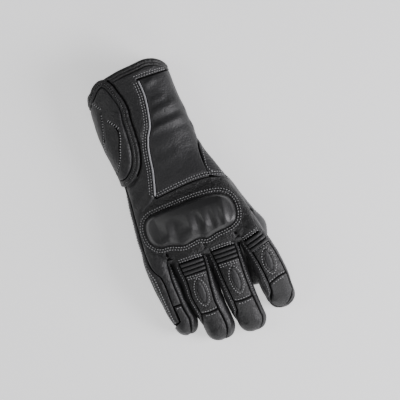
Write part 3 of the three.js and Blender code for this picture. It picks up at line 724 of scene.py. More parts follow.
# Double stitching beside the piping and along the top of the cuff panel
# Two rows of grey bonded thread, about nine stitches to 25 mm, through the back leather and the shell. Each
# stitch is a short rounded length of thread that lies on the leather.
STITCH_PITCH = 2.8
STITCH_LENGTH = 1.85
THREAD = 1.0
STITCH_SEED = 7
THREAD_LIFT = 0.12
ROW_LIFT, ROW_REACH = 7.0, 6.5      # a row is laid from this far off the skin, which clears all leather
THREAD_GREY = hide("bonded_thread", (0.43, 0.43, 0.44), (0.43, 0.43, 0.44), 0.6, 0.0003, 0.00005, shine=0.35)


def stitch_tree():
    """Geometry Nodes: a short rounded thread on every point, along its row and upright on the leather."""
    tree = bpy.data.node_groups.new("Stitches", "GeometryNodeTree")
    face = tree.interface
    face.new_socket("Points", in_out="INPUT", socket_type="NodeSocketGeometry")
    sizes = {}
    for label, kind in (("Stitch length", "NodeSocketFloat"), ("Thread thickness", "NodeSocketFloat"),
                        ("Seed", "NodeSocketInt")):
        sizes[label] = face.new_socket(label, in_out="INPUT", socket_type=kind).identifier
    face.new_socket("Stitches", in_out="OUTPUT", socket_type="NodeSocketGeometry")
    nodes, links = tree.nodes, tree.links
    given, result = nodes.new("NodeGroupInput"), nodes.new("NodeGroupOutput")
    bead = nodes.new("GeometryNodeMeshUVSphere")
    bead.inputs["Segments"].default_value = 6
    bead.inputs["Rings"].default_value = 4
    bead.inputs["Radius"].default_value = 0.5
    chance = nodes.new("FunctionNodeRandomValue")
    chance.data_type = "FLOAT"
    for index, share in ((2, 0.88), (3, 1.06)):     # the least and the greatest share of the stitch length
        chance.inputs[index].default_value = share
    links.new(given.outputs["Seed"], chance.inputs["Seed"])
    length = nodes.new("ShaderNodeMath")
    length.operation = "MULTIPLY"
    links.new(given.outputs["Stitch length"], length.inputs[0])
    links.new(chance.outputs[1], length.inputs[1])
    size = nodes.new("ShaderNodeCombineXYZ")
    links.new(length.outputs[0], size.inputs["X"])
    links.new(given.outputs["Thread thickness"], size.inputs["Y"])
    links.new(given.outputs["Thread thickness"], size.inputs["Z"])
    turned = None
    for axis, attribute, pivot in (("X", "along", "AUTO"), ("Z", "up", "X")):
        way = nodes.new("GeometryNodeInputNamedAttribute")
        way.data_type = "FLOAT_VECTOR"
        way.inputs["Name"].default_value = attribute
        turn = nodes.new("FunctionNodeAlignRotationToVector")
        turn.axis = axis
        turn.pivot_axis = pivot
        if turned is not None:
            links.new(turned, turn.inputs["Rotation"])
        links.new(way.outputs["Attribute"], turn.inputs["Vector"])
        turned = turn.outputs["Rotation"]
    copies = nodes.new("GeometryNodeInstanceOnPoints")
    links.new(given.outputs["Points"], copies.inputs["Points"])
    links.new(bead.outputs["Mesh"], copies.inputs["Instance"])
    links.new(turned, copies.inputs["Rotation"])
    links.new(size.outputs["Vector"], copies.inputs["Scale"])
    real = nodes.new("GeometryNodeRealizeInstances")
    links.new(copies.outputs["Instances"], real.inputs["Geometry"])
    smooth = nodes.new("GeometryNodeSetShadeSmooth")
    links.new(real.outputs["Geometry"], smooth.inputs["Geometry"])
    coat = nodes.new("GeometryNodeSetMaterial")
    coat.inputs["Material"].default_value = THREAD_GREY
    links.new(smooth.outputs["Geometry"], coat.inputs["Geometry"])
    links.new(coat.outputs["Geometry"], result.inputs["Stitches"])
    return tree, sizes


STITCHES, STITCH_INPUTS = stitch_tree()


def over(names):
    """The upper surface of finished pieces, to lay others on."""
    points, triangles, count = [], [], 0
    for name in names:
        points.append(laid[name][0])
        triangles.append(laid[name][1] + count)
        count += len(laid[name][0])
    return skin_of(np.vstack(points), np.vstack(triangles))


def sew(name, rows, place, onto, pitch=STITCH_PITCH, length=STITCH_LENGTH, thick=THREAD):
    """Rows of stitches along lines, lying on the pieces that they go through."""
    leather = over(onto)
    spots, alongs, ups = [], [], []
    for row in rows:
        base, normal = place(curve(row, 0.7))
        top, upwards = land(leather, base + ROW_LIFT * normal, -normal, np.full(len(base), ROW_REACH))
        run = np.concatenate([[0], np.cumsum(np.linalg.norm(np.diff(top, axis=0), axis=1))])
        wanted = np.arange(0.5 * pitch, run[-1], pitch)
        if not len(wanted):
            continue
        along = unit(np.gradient(top, axis=0))
        spot, way, up = (np.column_stack([np.interp(wanted, run, field[:, i]) for i in range(3)])
                         for field in (top + THREAD_LIFT * upwards, along, upwards))
        spots.append(spot)
        alongs.append(unit(way))
        ups.append(unit(up))
    spots = (np.vstack(spots) - MIDDLE) * 0.001
    mesh = plain_mesh(name, spots, [])
    for key, field in (("along", np.vstack(alongs)), ("up", np.vstack(ups))):
        mesh.attributes.new(key, "FLOAT_VECTOR", "POINT").data.foreach_set("vector", field.ravel())
    work = bpy.data.objects.new(name + "_points", mesh)
    bpy.context.collection.objects.link(work)
    threads = work.modifiers.new("stitches", "NODES")
    threads.node_group = STITCHES
    threads[STITCH_INPUTS["Stitch length"]] = length * 0.001
    threads[STITCH_INPUTS["Thread thickness"]] = thick * 0.001
    threads[STITCH_INPUTS["Seed"]] = STITCH_SEED
    sewn = bpy.data.objects.new(name, baked(name, work))
    bpy.data.objects.remove(work)
    bpy.context.collection.objects.link(sewn)
    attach(sewn, "root")


sew("piping_stitches", piping_rows + top_rows, on_back, ["back_leather"])

# Side gusset at the wrist
# A softer piece on the thumb side of the wrist, gathered a little into the seam of the cuff panel, with one
# row of stitches beside that seam.
SIDEWAYS, SIDEWAYS_REACH = 150.0, 95.0      # how far off rays from the side start, and their reach


def from_side(side):
    """Lays outlines of y and z on the glove from its thumb side (1) or its little-finger side (-1)."""
    def place(plan):
        starts = np.column_stack([np.full(len(plan), side * SIDEWAYS), plan])
        return same_way(glove_skin, starts, (-side, 0.0, 0.0), SIDEWAYS_REACH)
    return place


def seen_from_side(plan):
    """The y and z of places on the back that are given in the plan."""
    landed, _ = on_back(np.asarray(plan, float))
    return landed[:, 1:]


on_thumb_side = from_side(1)
GUSSET_SEAM = [(30.6, 54), (28.2, 48.6), (27.5, 36), (28.4, 18), (33, 13.2), (38, 10.8), (43, 8.2)]
gusset_top = seen_from_side(curve(GUSSET_SEAM, 3.0))
gusset_loop = outline(gusset_top, [(9.0, 27), (12, 18), (24, 14.5), (44, 12.5), (55, 14)])


def gusset_relief(plan, inset):
    gathers = 0.35 * np.sin(1.5 * plan[:, 0] - 0.9 * plan[:, 1]) * np.clip((plan[:, 1] - 20) / 14, 0, 1)
    return puffed(inset, 0.6, 5) + gathers


panel("wrist_gusset", gusset_loop, on_thumb_side, 1.1, 1.2, SOFT_LEATHER,
      relief=gusset_relief, grid=1.1)
gusset_row = seen_from_side(curve([(29.6, 46), (28.9, 36), (29.9, 21), (34, 16.6)], 2.0))
sew("gusset_stitches", [gusset_row], on_thumb_side, ["wrist_gusset"])

# Grained leather over the back of the hand
# Darker pebbled cowhide from the foot of the cuff panel to the first ribs of the fingers, notched at the
# webs between them. Two rows of stitches hold it along the foot seam.
GRAIN_LEATHER = hide("grained_leather", (0.016, 0.016, 0.0165), (0.05, 0.05, 0.052), 0.47, 0.002, 0.002)
GUARD_TOP = [(-50.4, -20), (-49.4, -13), (-46, -7), (-41, -4), (-34, -2.8), (-20, -2), (-6, -1.3), (8, -1),
             (18, -1.6), (28, -3), (34, -5.6), (38.6, -9.6), (41.2, -15), (42, -22)]
GUARD_FOOT = [(42, -22), (41.2, -29), (38.4, -34.4), (34, -37.4), (27, -39), (16, -40.2), (6, -42.4),
              (-2, -40), (-10, -41), (-18, -42), (-26, -39.6), (-32, -37.8), (-39, -37.4), (-45, -35),
              (-49, -29), (-50.4, -20)]
SURROUND_RIGHT = [(46.4, 1), (50.6, -10), (53.6, -20), (55.4, -30), (55, -40), (57.4, -50.6)]
WEB_FOLDS = [[(-38, -44.5), (-36.6, -50), (-35.4, -58)], [(0.6, -47), (0.8, -52), (1, -58)],
             [(34, -46.5), (34.6, -52), (35.4, -58)]]
WEB_CREASES = [((46, -44), (40, -40), 2.6, -0.8), ((34, -46), (26, -46.5), 2.2, -0.5)]
guard_loop = outline(GUARD_TOP + GUARD_FOOT[1:], step=1.1)
guard_seat = np.vstack([guard_loop, guard_loop[:1]])
surround_loop = outline(
    beside(curve(FOOT_SEAM, 4.0), -2.2), [(42.4, 7.8)] + SURROUND_RIGHT,
    [(57.2, -51.2), (39.4, -56.4)], [(39.4, -56.4), (38, -52.5), (36, -49.8)],
    [(36, -49.8), (32.6, -51.4), (30, -56)], [(29.6, -56), (5, -56)], [(5, -56), (3.2, -52.6), (1, -50.6)],
    [(1, -50.6), (-1.6, -52.6), (-4, -57.6)], [(-4.4, -57.6), (-29.4, -57.6)],
    [(-29.4, -57.6), (-31.4, -53), (-36.6, -49.2)], beside(curve(BACK_LEATHER_FOOT[::-1], 4.0), 1.4))


def surround_relief(plan, inset):
    lifted = puffed(inset, 0.5, 4) + fold(plan, (-34, 8), (36, 9.5), 4.5, -0.9) + folds(plan, WEB_CREASES)
    seams = groove(plan, [guard_seat], 1.5, 1.0)
    seams = seams + groove(plan, [np.array(line) for line in WEB_FOLDS], 2.0, 1.7)
    return lifted + wrinkles(plan, 6, 5, 0.3) + seams


panel("knuckle_leather", surround_loop, on_back, 1.3, 1.2, GRAIN_LEATHER,
      nodes=("knuckle_surround",), relief=surround_relief, grid=1.1)
sew("foot_seam_stitches", [beside(foot_line[1:], 2.5), beside(foot_line[1:], 0.2)], on_back,
    ["knuckle_leather", "cuff_panel_leather", "wrist_gusset"])

# Moulded knuckle guard
# A stiff moulded shell with a satin skin over foam, sewn down all round. It is a smooth plateau with
# sloping ends that runs down to a scalloped foot, with dips carved into the slope over the knuckles.
GUARD_DIPS = [      # x and the share of the carving's full depth there, from the little finger on
    (-52, 0), (-46, 0), (-40, 0.5), (-29.5, 0), (-21, 1), (-6, 0), (2, 1), (8.4, 0), (16, 1), (19.5, 0.35),
    (25, 0.8), (28, 0.1), (32, 0), (44, 0)]
GUARD_THICK = 2.2
guard_top_line = curve(GUARD_TOP[2:-2], 1.5)
GUARD_SKIN = hide("moulded_guard", (0.022, 0.022, 0.023), (0.03, 0.03, 0.031), 0.42, 0.001, 0.00012,
                  shine=0.75)


def smooth_step(part):
    """A soft rise from 0 to 1."""
    part = np.clip(part, 0, 1)
    return part * part * (3 - 2 * part)


def upright(place):
    """The same places, with heights measured straight up."""
    def placed(plan):
        base, normal = place(plan)
        return base, np.tile([0.0, 0.0, 1.0], (len(normal), 1))
    return placed


def guard_relief(plan, inset):
    """The height of the guard's plateau, its slope, its carving and its ends."""
    x, y = plan[:, 0], plan[:, 1]
    middle = through([-42, -38, -34, -30, -27, -23, -16, -12, -1],
                     [0.0, 0.9, 3.1, 5.1, 5.9, 6.2, 6.0, 5.5, 3.2], y)
    index_end = through([-42, -38, -34, -30, -23, -16, -10, -5], [0.0, 0.6, 1.7, 2.9, 4.7, 6.2, 6.9, 6.2], y)
    plateau = middle + (index_end - middle) * smooth_step((x - 26) / 8)
    carving = through([-42, -38, -34, -30, -27, -24, -20, -16, -12],
                      [0, 0.5, 1.8, 3.2, 3.7, 3.4, 2.4, 1.0, 0], y)
    places, depths = np.array(GUARD_DIPS).T
    dips = np.mean([np.interp(x + shift, places, depths) for shift in (-1.2, -0.6, 0, 0.6, 1.2)], axis=0)
    left, right = np.clip((x + 50.5) / 13, 0, 1), np.clip((43 - x) / 12.5, 0, 1)
    sides = (0.8 * left + 0.2 * smooth_step(left)) * (0.85 * right + 0.15 * smooth_step(right))
    top_edge = smooth_step(0.15 + gap_to(plan, guard_top_line) / 2.0)
    rim_width = 2.2 + 1.8 * smooth_step((-14 - y) / 10)
    return ((plateau - carving * dips) * sides * top_edge + 0.5) * smooth_step(0.1 + inset / rim_width)


panel("knuckle_guard_skin", guard_loop, upright(on_back), GUARD_THICK, 1.5, GUARD_SKIN,
      nodes=("knuckle_guard",), relief=guard_relief, grid=0.95, uneven=0.05)


def ring_rows(loop, *distances):
    """Closed lines that run the given distances outside a loop."""
    ring = np.vstack([loop, loop[:1]])
    side = 1 if within(beside(ring, 1.0), loop).mean() < 0.5 else -1
    return [beside(ring, side * distance) for distance in distances]


guard_rows = ring_rows(guard_loop, 1.7, 4.1)
sew("guard_stitches", guard_rows, on_back, ["knuckle_leather", "back_leather"])

# Overlay down the little-finger side
# Grained leather folded round the edge of the hand and the little finger, sewn on with two rows of stitches
# beside its seam.
OVERLAY_FOOT = [(-116, 8.5), (-100, 11), (-80, 15.5), (-60, 19), (-40, 19), (-20, 17.5), (0, 15.5), (28, 14)]
on_little_side = from_side(-1)
overlay_seam = LITTLE_SIDE_SEAM + [(-48.6, -103), (-47.9, -114)]
overlay_top = seen_from_side(curve([(x - 0.4, y) for x, y in overlay_seam], 2.5))
overlay_loop = outline(overlay_top, [(-114, 14), (-116, 11)], OVERLAY_FOOT)


def overlay_relief(plan, inset):
    return puffed(inset, 0.6, 4) + 0.25 * np.sin(0.22 * plan[:, 0]) * np.exp(-inset / 9)


panel("side_overlay_leather", overlay_loop, on_little_side, 1.2, 1.3, GRAIN_LEATHER,
      nodes=("side_overlay",), relief=overlay_relief)
overlay_side = 1 if within(beside(overlay_top, 1.0), overlay_loop).mean() > 0.5 else -1
overlay_rows = [beside(overlay_top[2:], overlay_side * shift) for shift in (2.6, 5.0)]
sew("overlay_stitches", overlay_rows, on_little_side, ["side_overlay_leather"])

# Backs of the fingers
# Ribbed flex panels over the knuckles, grained panels with a stitched oval pad, and smooth tip caps. The
# ribs and the pads are leather over foam.
FINGERS = {     # seams beside the back, end of the left wall, tip seam and its bow, first rib, pad and rows
    "little": dict(left=[(-49, -92), (-48.6, -97), (-47.6, -104), (-47, -116)],
                   right=[(-40.9, -56), (-42, -72), (-41, -90), (-40.6, -97), (-38.5, -115)], tip_seam=-97,
                   wall_end=-113),
    "ring": dict(left=[(-29.6, -53), (-28.4, -66), (-27, -78), (-27.6, -95), (-25, -109), (-24, -118)],
                 right=[(-4, -53), (-5, -70), (-7, -87), (-8, -103), (-6.6, -118)], ribs=-58.8, tilt=0.0,
                 tip_seam=-112.6, tip_bow=-0.8, wall_end=-113.5, pad=(-17, -91.5, 3.8, 11.0),
                 under_rows=-73.6),
    "middle": dict(left=[(4.6, -53), (6.4, -64), (7.4, -78), (8.8, -96), (10.4, -112), (10.9, -120)],
                   right=[(29.4, -53), (28.8, -70), (28.4, -90), (29, -108), (31, -122)], ribs=-57.2,
                   tilt=0.0, tip_seam=-111.2, tip_bow=-1.2, wall_end=-119, pad=(19.6, -90.5, 3.6, 11.0),
                   under_rows=-72.2),
    "index": dict(left=[(38.4, -53), (41.4, -62), (45.2, -76), (48, -92), (49.2, -105), (49.4, -112)],
                  right=[(56.4, -50), (60.2, -62), (64, -74), (66.4, -86), (68.2, -99), (68.6, -106)],
                  ribs=-55.6, tilt=0.3, tip_seam=-103.2, tip_bow=1.2, wall_end=-113,
                  pad=(56.2, -83.5, 3.5, 10), under_rows=-66.5),
}
RIB_PITCH = 4.25
RIB_COUNT = 3
RIB_GAP = 0.35
RIB_THICK = 2.3
PALM_SEAM_TURN = math.radians(128)      # from the middle of a finger's back to its seams on the palm side
TIP_TURN = 1.53         # how far leather runs round a tip, in radians, just short of a quarter turn
TIP_SEAM_GAP = 0.45     # from the middle of a seam to the edge of a piece beside it
SIDE_SEAM_GAP = 0.55
ROW_INSET = 1.8         # from the edge of a piece to the stitches inside it


def digit_radius(name):
    """The mean half width and half height of a finger or the thumb, past its root."""
    rows = np.array(SECTIONS[name], float)
    return float(rows[2:, 3:5].mean())


def tip_end_of(name):
    """The y at which the pieces round a tip end, unrolled over it."""
    return SECTIONS[name][-1][0] - TIP_TURN * digit_radius(name)


def around(name):
    """Lays outlines round a digit: arc from its back to the thumb side, and y, unrolled over the tip."""
    radius, last = digit_radius(name), SECTIONS[name][-1][0]

    def place(plan):
        arc, y = plan[:, 0], plan[:, 1]
        middle_x, middle_z, half_width, half_height, _ = section_at(name, np.maximum(y, last))
        turn = 0.5 * math.pi - arc / radius
        tilt = np.clip((last - y) / radius, 0, 0.5 * math.pi)
        ways = np.column_stack([np.cos(tilt) * np.cos(turn), -np.sin(tilt), np.cos(tilt) * np.sin(turn)])
        starts = np.column_stack([middle_x, np.maximum(y, last), middle_z])
        return land(glove_skin, starts, ways, 0.5 * (half_width + half_height))
    return place


def unrolled(name, plan):
    """Arc and y round a digit of points on its back that are given in the plan."""
    radius, last = digit_radius(name), SECTIONS[name][-1][0]
    landed, _ = on_back(np.asarray(plan, float))
    middle_x, middle_z, _, _, _ = section_at(name, np.maximum(landed[:, 1], last))
    across, up, along = landed[:, 0] - middle_x, landed[:, 2] - middle_z, np.maximum(last - landed[:, 1], 0)
    tilt = np.arctan2(along, np.hypot(across, up))
    y = np.where(along > 0, last - tilt * radius, landed[:, 1])
    return np.column_stack([(0.5 * math.pi - np.arctan2(up, across)) * radius, y])


def at_y(line, y):
    """The x of a line that runs down the page, at each y."""
    rows = np.array(line, float)
    return np.interp(-np.asarray(y, float), -rows[:, 1], rows[:, 0])


def cross_line(finger, y, tilt, shy=0.5, bow=0.0):
    """A line across the back of a finger, seam to seam, tilted and bowed."""
    part = np.linspace(0, 1, 7)
    left, right = at_y(finger["left"], y) + shy, at_y(finger["right"], y) - shy
    x = left + (right - left) * part
    return np.column_stack([x, y + tilt * (x - 0.5 * (left + right)) + bow * 4 * part * (1 - part)])


def side_line(line, top, foot, shy):
    """The part of a seam between two heights on the page, moved sideways."""
    ys = np.linspace(top, foot, 8)
    return np.column_stack([at_y(line, ys) + shy, ys])


def joined(name, parts):
    """Several finished pieces as one piece."""
    bpy.ops.object.select_all(action="DESELECT")
    for part in parts:
        part.select_set(True)
    bpy.context.view_layer.objects.active = parts[0]
    bpy.ops.object.join()
    parts[0].name = name
    parts[0].data.name = name
    return parts[0]


def side_over_tip(name, finger, side, shy):
    """Arc and y of a side seam past the tip seam. The right one runs over the tip, the left turns under."""
    tip_end, seam_y, wall_end = tip_end_of(name), finger["tip_seam"], finger["wall_end"]
    if side > 0:
        arc, y = unrolled(name, side_line(finger["right"], seam_y - TIP_SEAM_GAP, seam_y - 1, shy))[0]
        return np.array([(arc, y), (arc, 0.5 * (y + tip_end)), (arc, tip_end)])
    seam = unrolled(name, side_line(finger["left"], seam_y - TIP_SEAM_GAP, wall_end, shy))
    seam_arc, low_arc = seam[-1, 0], -PALM_SEAM_TURN * digit_radius(name)
    if name == "little":
        under = [(0.7 * seam_arc + 0.3 * low_arc, -116), (0.35 * seam_arc + 0.65 * low_arc, -117.4),
                 (low_arc + shy, -117.8), (low_arc + shy, tip_end)]
    else:
        under = [(0.8 * seam_arc + 0.2 * low_arc + shy, wall_end - 6),
                 (0.45 * seam_arc + 0.55 * low_arc + shy, wall_end - 13), (0.85 * low_arc + shy, tip_end)]
    return np.vstack([seam, under])


for finger_name, finger in FINGERS.items():
    tilt = finger.get("tilt", 0.0)
    if "ribs" in finger:
        ribs = []
        for k in range(RIB_COUNT):
            top_y = finger["ribs"] - k * RIB_PITCH
            foot_y = top_y - RIB_PITCH + RIB_GAP
            rib_loop = outline(cross_line(finger, top_y, tilt), cross_line(finger, foot_y, tilt)[::-1],
                               step=0.9)
            ribs.append(panel(f"{finger_name}_rib_{k}", rib_loop, on_back, RIB_THICK, 1.75,
                              SOFT_LEATHER, grid=0.9, uneven=0.05))
        ribbed = joined(f"{finger_name}_rib_pads", ribs)
        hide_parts(f"{finger_name}_ribs")
        panel_top = finger["ribs"] - RIB_COUNT * RIB_PITCH - 0.2
        pad_x, pad_y, pad_half_width, pad_half_length = finger["pad"]
        turn = np.linspace(0, 2 * math.pi, 49)[:-1]
        pad_loop = np.column_stack([pad_x + pad_half_width * np.cos(turn),
                                    pad_y + pad_half_length * np.sin(turn)])
        pointed = np.sign(np.cos(turn)) * np.abs(np.cos(turn)) ** 1.25
        lozenge = np.column_stack([pad_x + (pad_half_width + 2.4) * pointed,
                                   pad_y + (pad_half_length + 3.4) * np.sin(turn)])
        lozenge = np.vstack([lozenge, lozenge[:1]])
        under = [cross_line(finger, finger["under_rows"] - shift, tilt - 0.04, shy=1.6) for shift in (0, 2.2)]
        tip_row = [cross_line(finger, finger["tip_seam"] + 2.2, tilt, shy=1.6, bow=finger["tip_bow"])]
        rows = under + tip_row + [lozenge]

        def back_relief(plan, inset):
            around_pad = 0.9 * np.clip(1 - gap_to(plan, pad_loop, closed=True) / 3.2, 0, 1) ** 0.7
            around_pad = np.where(within(plan, pad_loop), 0.0, around_pad)
            return puffed(inset, 0.5, 3) + around_pad + groove(plan, rows, 0.5)

        tip_y = finger["tip_seam"] + TIP_SEAM_GAP
        back_loop = outline(cross_line(finger, panel_top, tilt, SIDE_SEAM_GAP),
                            side_line(finger["right"], panel_top - 1, tip_y + 1, -SIDE_SEAM_GAP),
                            cross_line(finger, tip_y, tilt, SIDE_SEAM_GAP, finger["tip_bow"])[::-1],
                            side_line(finger["left"], panel_top - 1, tip_y + 1, SIDE_SEAM_GAP)[::-1])
        panel(f"{finger_name}_back", back_loop, on_back, 1.4, 1.2, GRAIN_LEATHER,
              nodes=(f"{finger_name}_panel",), grid=1.05, relief=back_relief, welt=0.35)
        sew(f"{finger_name}_back_stitches", rows, on_back, [f"{finger_name}_back"])
        pad = panel(f"{finger_name}_oval_pad", pad_loop, above(over([f"{finger_name}_back"])), 1.1, 2.2,
                    SOFT_LEATHER, nodes=(f"{finger_name}_pad",), grid=1.0)
        root_rows = [cross_line(finger, finger["ribs"] + shift, tilt, shy=1.0) for shift in (2.0, 4.4)]
        sew(f"{finger_name}_root_stitches", root_rows, on_back, ["knuckle_leather"])

    cap_top = cross_line(finger, finger["tip_seam"] - TIP_SEAM_GAP, tilt, SIDE_SEAM_GAP,
                         finger.get("tip_bow", 0.0))
    seam_top = unrolled(finger_name, cap_top)
    cap_loop = outline(seam_top, side_over_tip(finger_name, finger, 1, -SIDE_SEAM_GAP)[1:],
                       side_over_tip(finger_name, finger, -1, SIDE_SEAM_GAP)[::-1])
    cap_row = seam_top[1:-1] - np.array([0, ROW_INSET])

    def cap_relief(plan, inset):
        return puffed(inset, 0.6, 4) + groove(plan, [cap_row], 0.4, 0.8) + wrinkles(plan, 5, 7, 0.25)

    round_finger = around(finger_name)
    panel(f"{finger_name}_tip_cap", cap_loop, round_finger, 1.4, 1.3, LEATHER,
          nodes=(f"{finger_name}_cap",), relief=cap_relief, grid=1.2, welt=0.3)
    sew(f"{finger_name}_cap_stitches", [cap_row], round_finger, [f"{finger_name}_tip_cap"])

# Side walls of the fingers
# Long narrow strips of smooth leather between the back and the palm side of each finger, turned and sewn so
# that both seams stand up as soft welts, with a fine row of stitches beside the upper one.
WEB_Y = -51
FINE_THREAD = 0.6
for finger_name, finger in FINGERS.items():
    radius, tip_end = digit_radius(finger_name), tip_end_of(finger_name)
    round_finger = around(finger_name)
    for side, key in ((-1, "left"), (1, "right")):
        if finger_name == "little" and side < 0:
            continue
        low_arc = side * PALM_SEAM_TURN * radius
        above_tip = side_line(finger[key], WEB_Y, finger["tip_seam"] + 1, side * SIDE_SEAM_GAP)
        seam = np.vstack([unrolled(finger_name, above_tip),
                          side_over_tip(finger_name, finger, side, side * SIDE_SEAM_GAP)])
        wall_foot = [(low_arc, tip_end), (low_arc, 0.5 * (WEB_Y + tip_end)), (low_arc, WEB_Y - 3)]
        wall_loop = outline(seam, wall_foot)
        wall_row = seam[1:-2] + np.array([side * 1.7, 0])

        def wall_relief(plan, inset):
            ripples = 0.3 * np.sin(0.9 * (plan[:, 0] - low_arc)) * np.clip(inset / 3, 0, 1)
            seam_dip = groove(plan, [wall_row], 0.4, 0.7)
            return puffed(inset, 0.5, 3) + ripples + seam_dip + wrinkles(plan, 3, 9, 0.4)

        wall_name = f"{finger_name}_{key}_wall"
        panel(wall_name, wall_loop, round_finger, 1.2, 1.3, LEATHER, relief=wall_relief, welt=0.3)
        sew(f"{wall_name}_stitches", [wall_row], round_finger, [wall_name], length=1.6, thick=FINE_THREAD)

# Webs between the fingers
# A small piece of black stretch cloth in the root of each gap, behind the side walls, caught in the seams of
# the two fingers beside it.
WEBS = {"little_ring_web": [(-41, -46.6), (-37.4, -45.4), (-32, -48.4), (-29.6, -56), (-32, -62), (-36, -64),
                            (-40, -60), (-41.6, -53), (-41, -46.6)],
        "ring_middle_web": [(-4.6, -54), (-1.4, -50.2), (1, -49.6), (3.4, -50.6), (5.4, -54), (4.6, -62),
                            (0.4, -66), (-4, -62), (-4.6, -54)],
        "middle_index_web": [(29.4, -53), (32.6, -50), (36, -48.6), (38.6, -51), (39.4, -54.4), (35, -56.4),
                             (31, -56), (29.4, -53)]}
for web_name, web in WEBS.items():
    panel(web_name, outline(web), on_back, 0.5, 0.6, BACKING, grid=1.1)

# Palm side of the fingers
# One smooth piece of leather under each finger, from the palm to the tip, sewn to the side walls with a row
# of stitches along both seams.
PALM_SIDE_TOP = -56


def cornered(corners, step=LEATHER_STEP):
    """A closed outline of straight sides."""
    return outline(*[[start, end] for start, end in zip(corners, corners[1:] + corners[:1])], step=step)


def long_rows(first_arc, last_arc, top, foot):
    """A straight row of stitches inside each long side of a piece round a digit."""
    return [np.array([(arc, top), (arc, foot)]) for arc in (first_arc + ROW_INSET, last_arc - ROW_INSET)]


for finger_name in FINGERS:
    radius, tip_end = digit_radius(finger_name), tip_end_of(finger_name)
    first_arc = PALM_SEAM_TURN * radius + 0.8
    last_arc = (2 * math.pi - PALM_SEAM_TURN) * radius - 0.8
    under_loop = cornered([(first_arc, PALM_SIDE_TOP), (first_arc, tip_end), (last_arc, tip_end),
                           (last_arc, PALM_SIDE_TOP)])
    under_rows = long_rows(first_arc, last_arc, PALM_SIDE_TOP - 3, tip_end + 14)

    def under_relief(plan, inset):
        return puffed(inset, 0.5, 4) + groove(plan, under_rows, 0.3)

    round_finger = around(finger_name)
    panel(f"{finger_name}_palm_side", under_loop, round_finger, 0.9, 1.2, LEATHER,
          relief=under_relief)
    sew(f"{finger_name}_palm_stitches", under_rows, round_finger, [f"{finger_name}_palm_side"])

# Thumb
# Two smooth pieces, upper and lower, that meet at a seam on each side, with a row of stitches along both.
# The lower one takes in the root of the thumb under the palm.
# The thumb's soft leather is a little lighter than the rest, and its colour is raised further still as
# painted light. This stands in for the lamp light that doesn't reach the thumb between the fingers or the
# thumb side.
THUMB_LEATHER_AND_PAINTED_LIGHT = hide("thumb_leather_and_painted_light", (0.042, 0.042, 0.044), (0.06, 0.06, 0.062), 0.52, 0.0019, 0.0008,
                     sheen=0.2)
THUMB_SEAM_GAP = 0.7
quarter_arc = 0.5 * math.pi * digit_radius("thumb")
upper_edge = quarter_arc - THUMB_SEAM_GAP
thumb_end = tip_end_of("thumb")
thumb_place = around("thumb")
for part, first_arc, last_arc, top_y in (
        ("upper", -quarter_arc + THUMB_SEAM_GAP, upper_edge, -46),
        ("lower", quarter_arc + THUMB_SEAM_GAP, 3 * quarter_arc - THUMB_SEAM_GAP, 26)):
    loop = cornered([(first_arc, top_y), (last_arc, top_y), (last_arc, thumb_end), (first_arc, thumb_end)])
    rows = long_rows(first_arc, last_arc, top_y - 2, thumb_end + 13)

    def thumb_relief(plan, inset):
        return puffed(inset, 0.6, 5) + groove(plan, rows, 0.3) + wrinkles(plan, 8, 5, 0.3)

    panel(f"thumb_{part}", loop, thumb_place, 1.0, 1.3, THUMB_LEATHER_AND_PAINTED_LIGHT, relief=thumb_relief,
          welt=0.3)
    sew(f"thumb_{part}_stitches", rows, thumb_place, [f"thumb_{part}"])

# Leather between the hand and the thumb
# One smooth piece down the thumb side, sewn from the grained leather on the back to the seam of the thumb,
# and a small one beside the root of the index finger.
side_top = unrolled("thumb", [(x + 1.2, y) for x, y in [(43.4, 8.4)] + SURROUND_RIGHT])
side_loop = outline(side_top, [side_top[-1], (upper_edge, -54)],
                    [(upper_edge, -54), (upper_edge, -20), (upper_edge, 9)])
# The thumb side uses the same leather, so its lighter colour here is also partly painted light.
panel("thumb_side_leather", side_loop, thumb_place, 1.1, 1.3, THUMB_LEATHER_AND_PAINTED_LIGHT, welt=0.3,
      relief=lambda plan, inset: puffed(inset, 0.6, 5) + wrinkles(plan, 5, 6, 0.5))

root_top = seen_from_side(curve([(53.4, -31), (53.8, -40), (55, -47), (56.4, -56)], 3.0))
root_loop = outline(root_top, [(-57.5, 30), (-46, 27), (-34, 25), (-30, 28)])
panel("index_root_leather", root_loop, on_thumb_side, 0.9, 1.1, LEATHER, grid=1.2,
      relief=lambda plan, inset: puffed(inset, 0.4, 4) + wrinkles(plan, 5, 5, 0.3))

# Palm
# Smooth palm leather, notched at the webs, with a softer piece over the ball of the thumb. A heel patch and
# a grained palm patch with two padded inserts are sewn on it.
UNDERNEATH, UNDERNEATH_REACH = -60.0, 80.0      # height at which rays from below start, and their reach


def below(skin):
    """Lays plan outlines on a skin from underneath."""
    def place(plan):
        starts = np.column_stack([plan, np.full(len(plan), UNDERNEATH)])
        return same_way(skin, starts, (0.0, 0.0, 1.0), UNDERNEATH_REACH)
    return place


on_palm = below(glove_skin)
palm_loop = outline([(-9, 59.8), (-30, 60.2), (-50, 59)],
                    [(-50, 59), (-51.5, 43), (-54.5, 14), (-57, -8), (-58.4, -30), (-58, -46)],
                    [(-58, -46), (-56, -56.5), (-45, -57), (-40, -53), (-37, -50.5)],
                    [(-37, -50.5), (-33, -56.5), (-18, -57.5), (-5, -56.5), (0.8, -51.5)],
                    [(0.8, -51.5), (6, -56.5), (18, -57.5), (29, -56.5), (34, -51.5)],
                    [(34, -51.5), (35.4, -46), (29.6, -34), (25, -14), (20, 8), (15, 28), (8, 43.5),
                     (1.4, 49.6), (-9, 59.8)])
PALM_LINES = [((-48, -30), (8, -20), 2.4, -0.7), ((-44, -12), (16, -6), 2.2, -0.5)]


def palm_relief(plan, inset):
    return puffed(inset, 0.5, 6) + folds(plan, PALM_LINES)


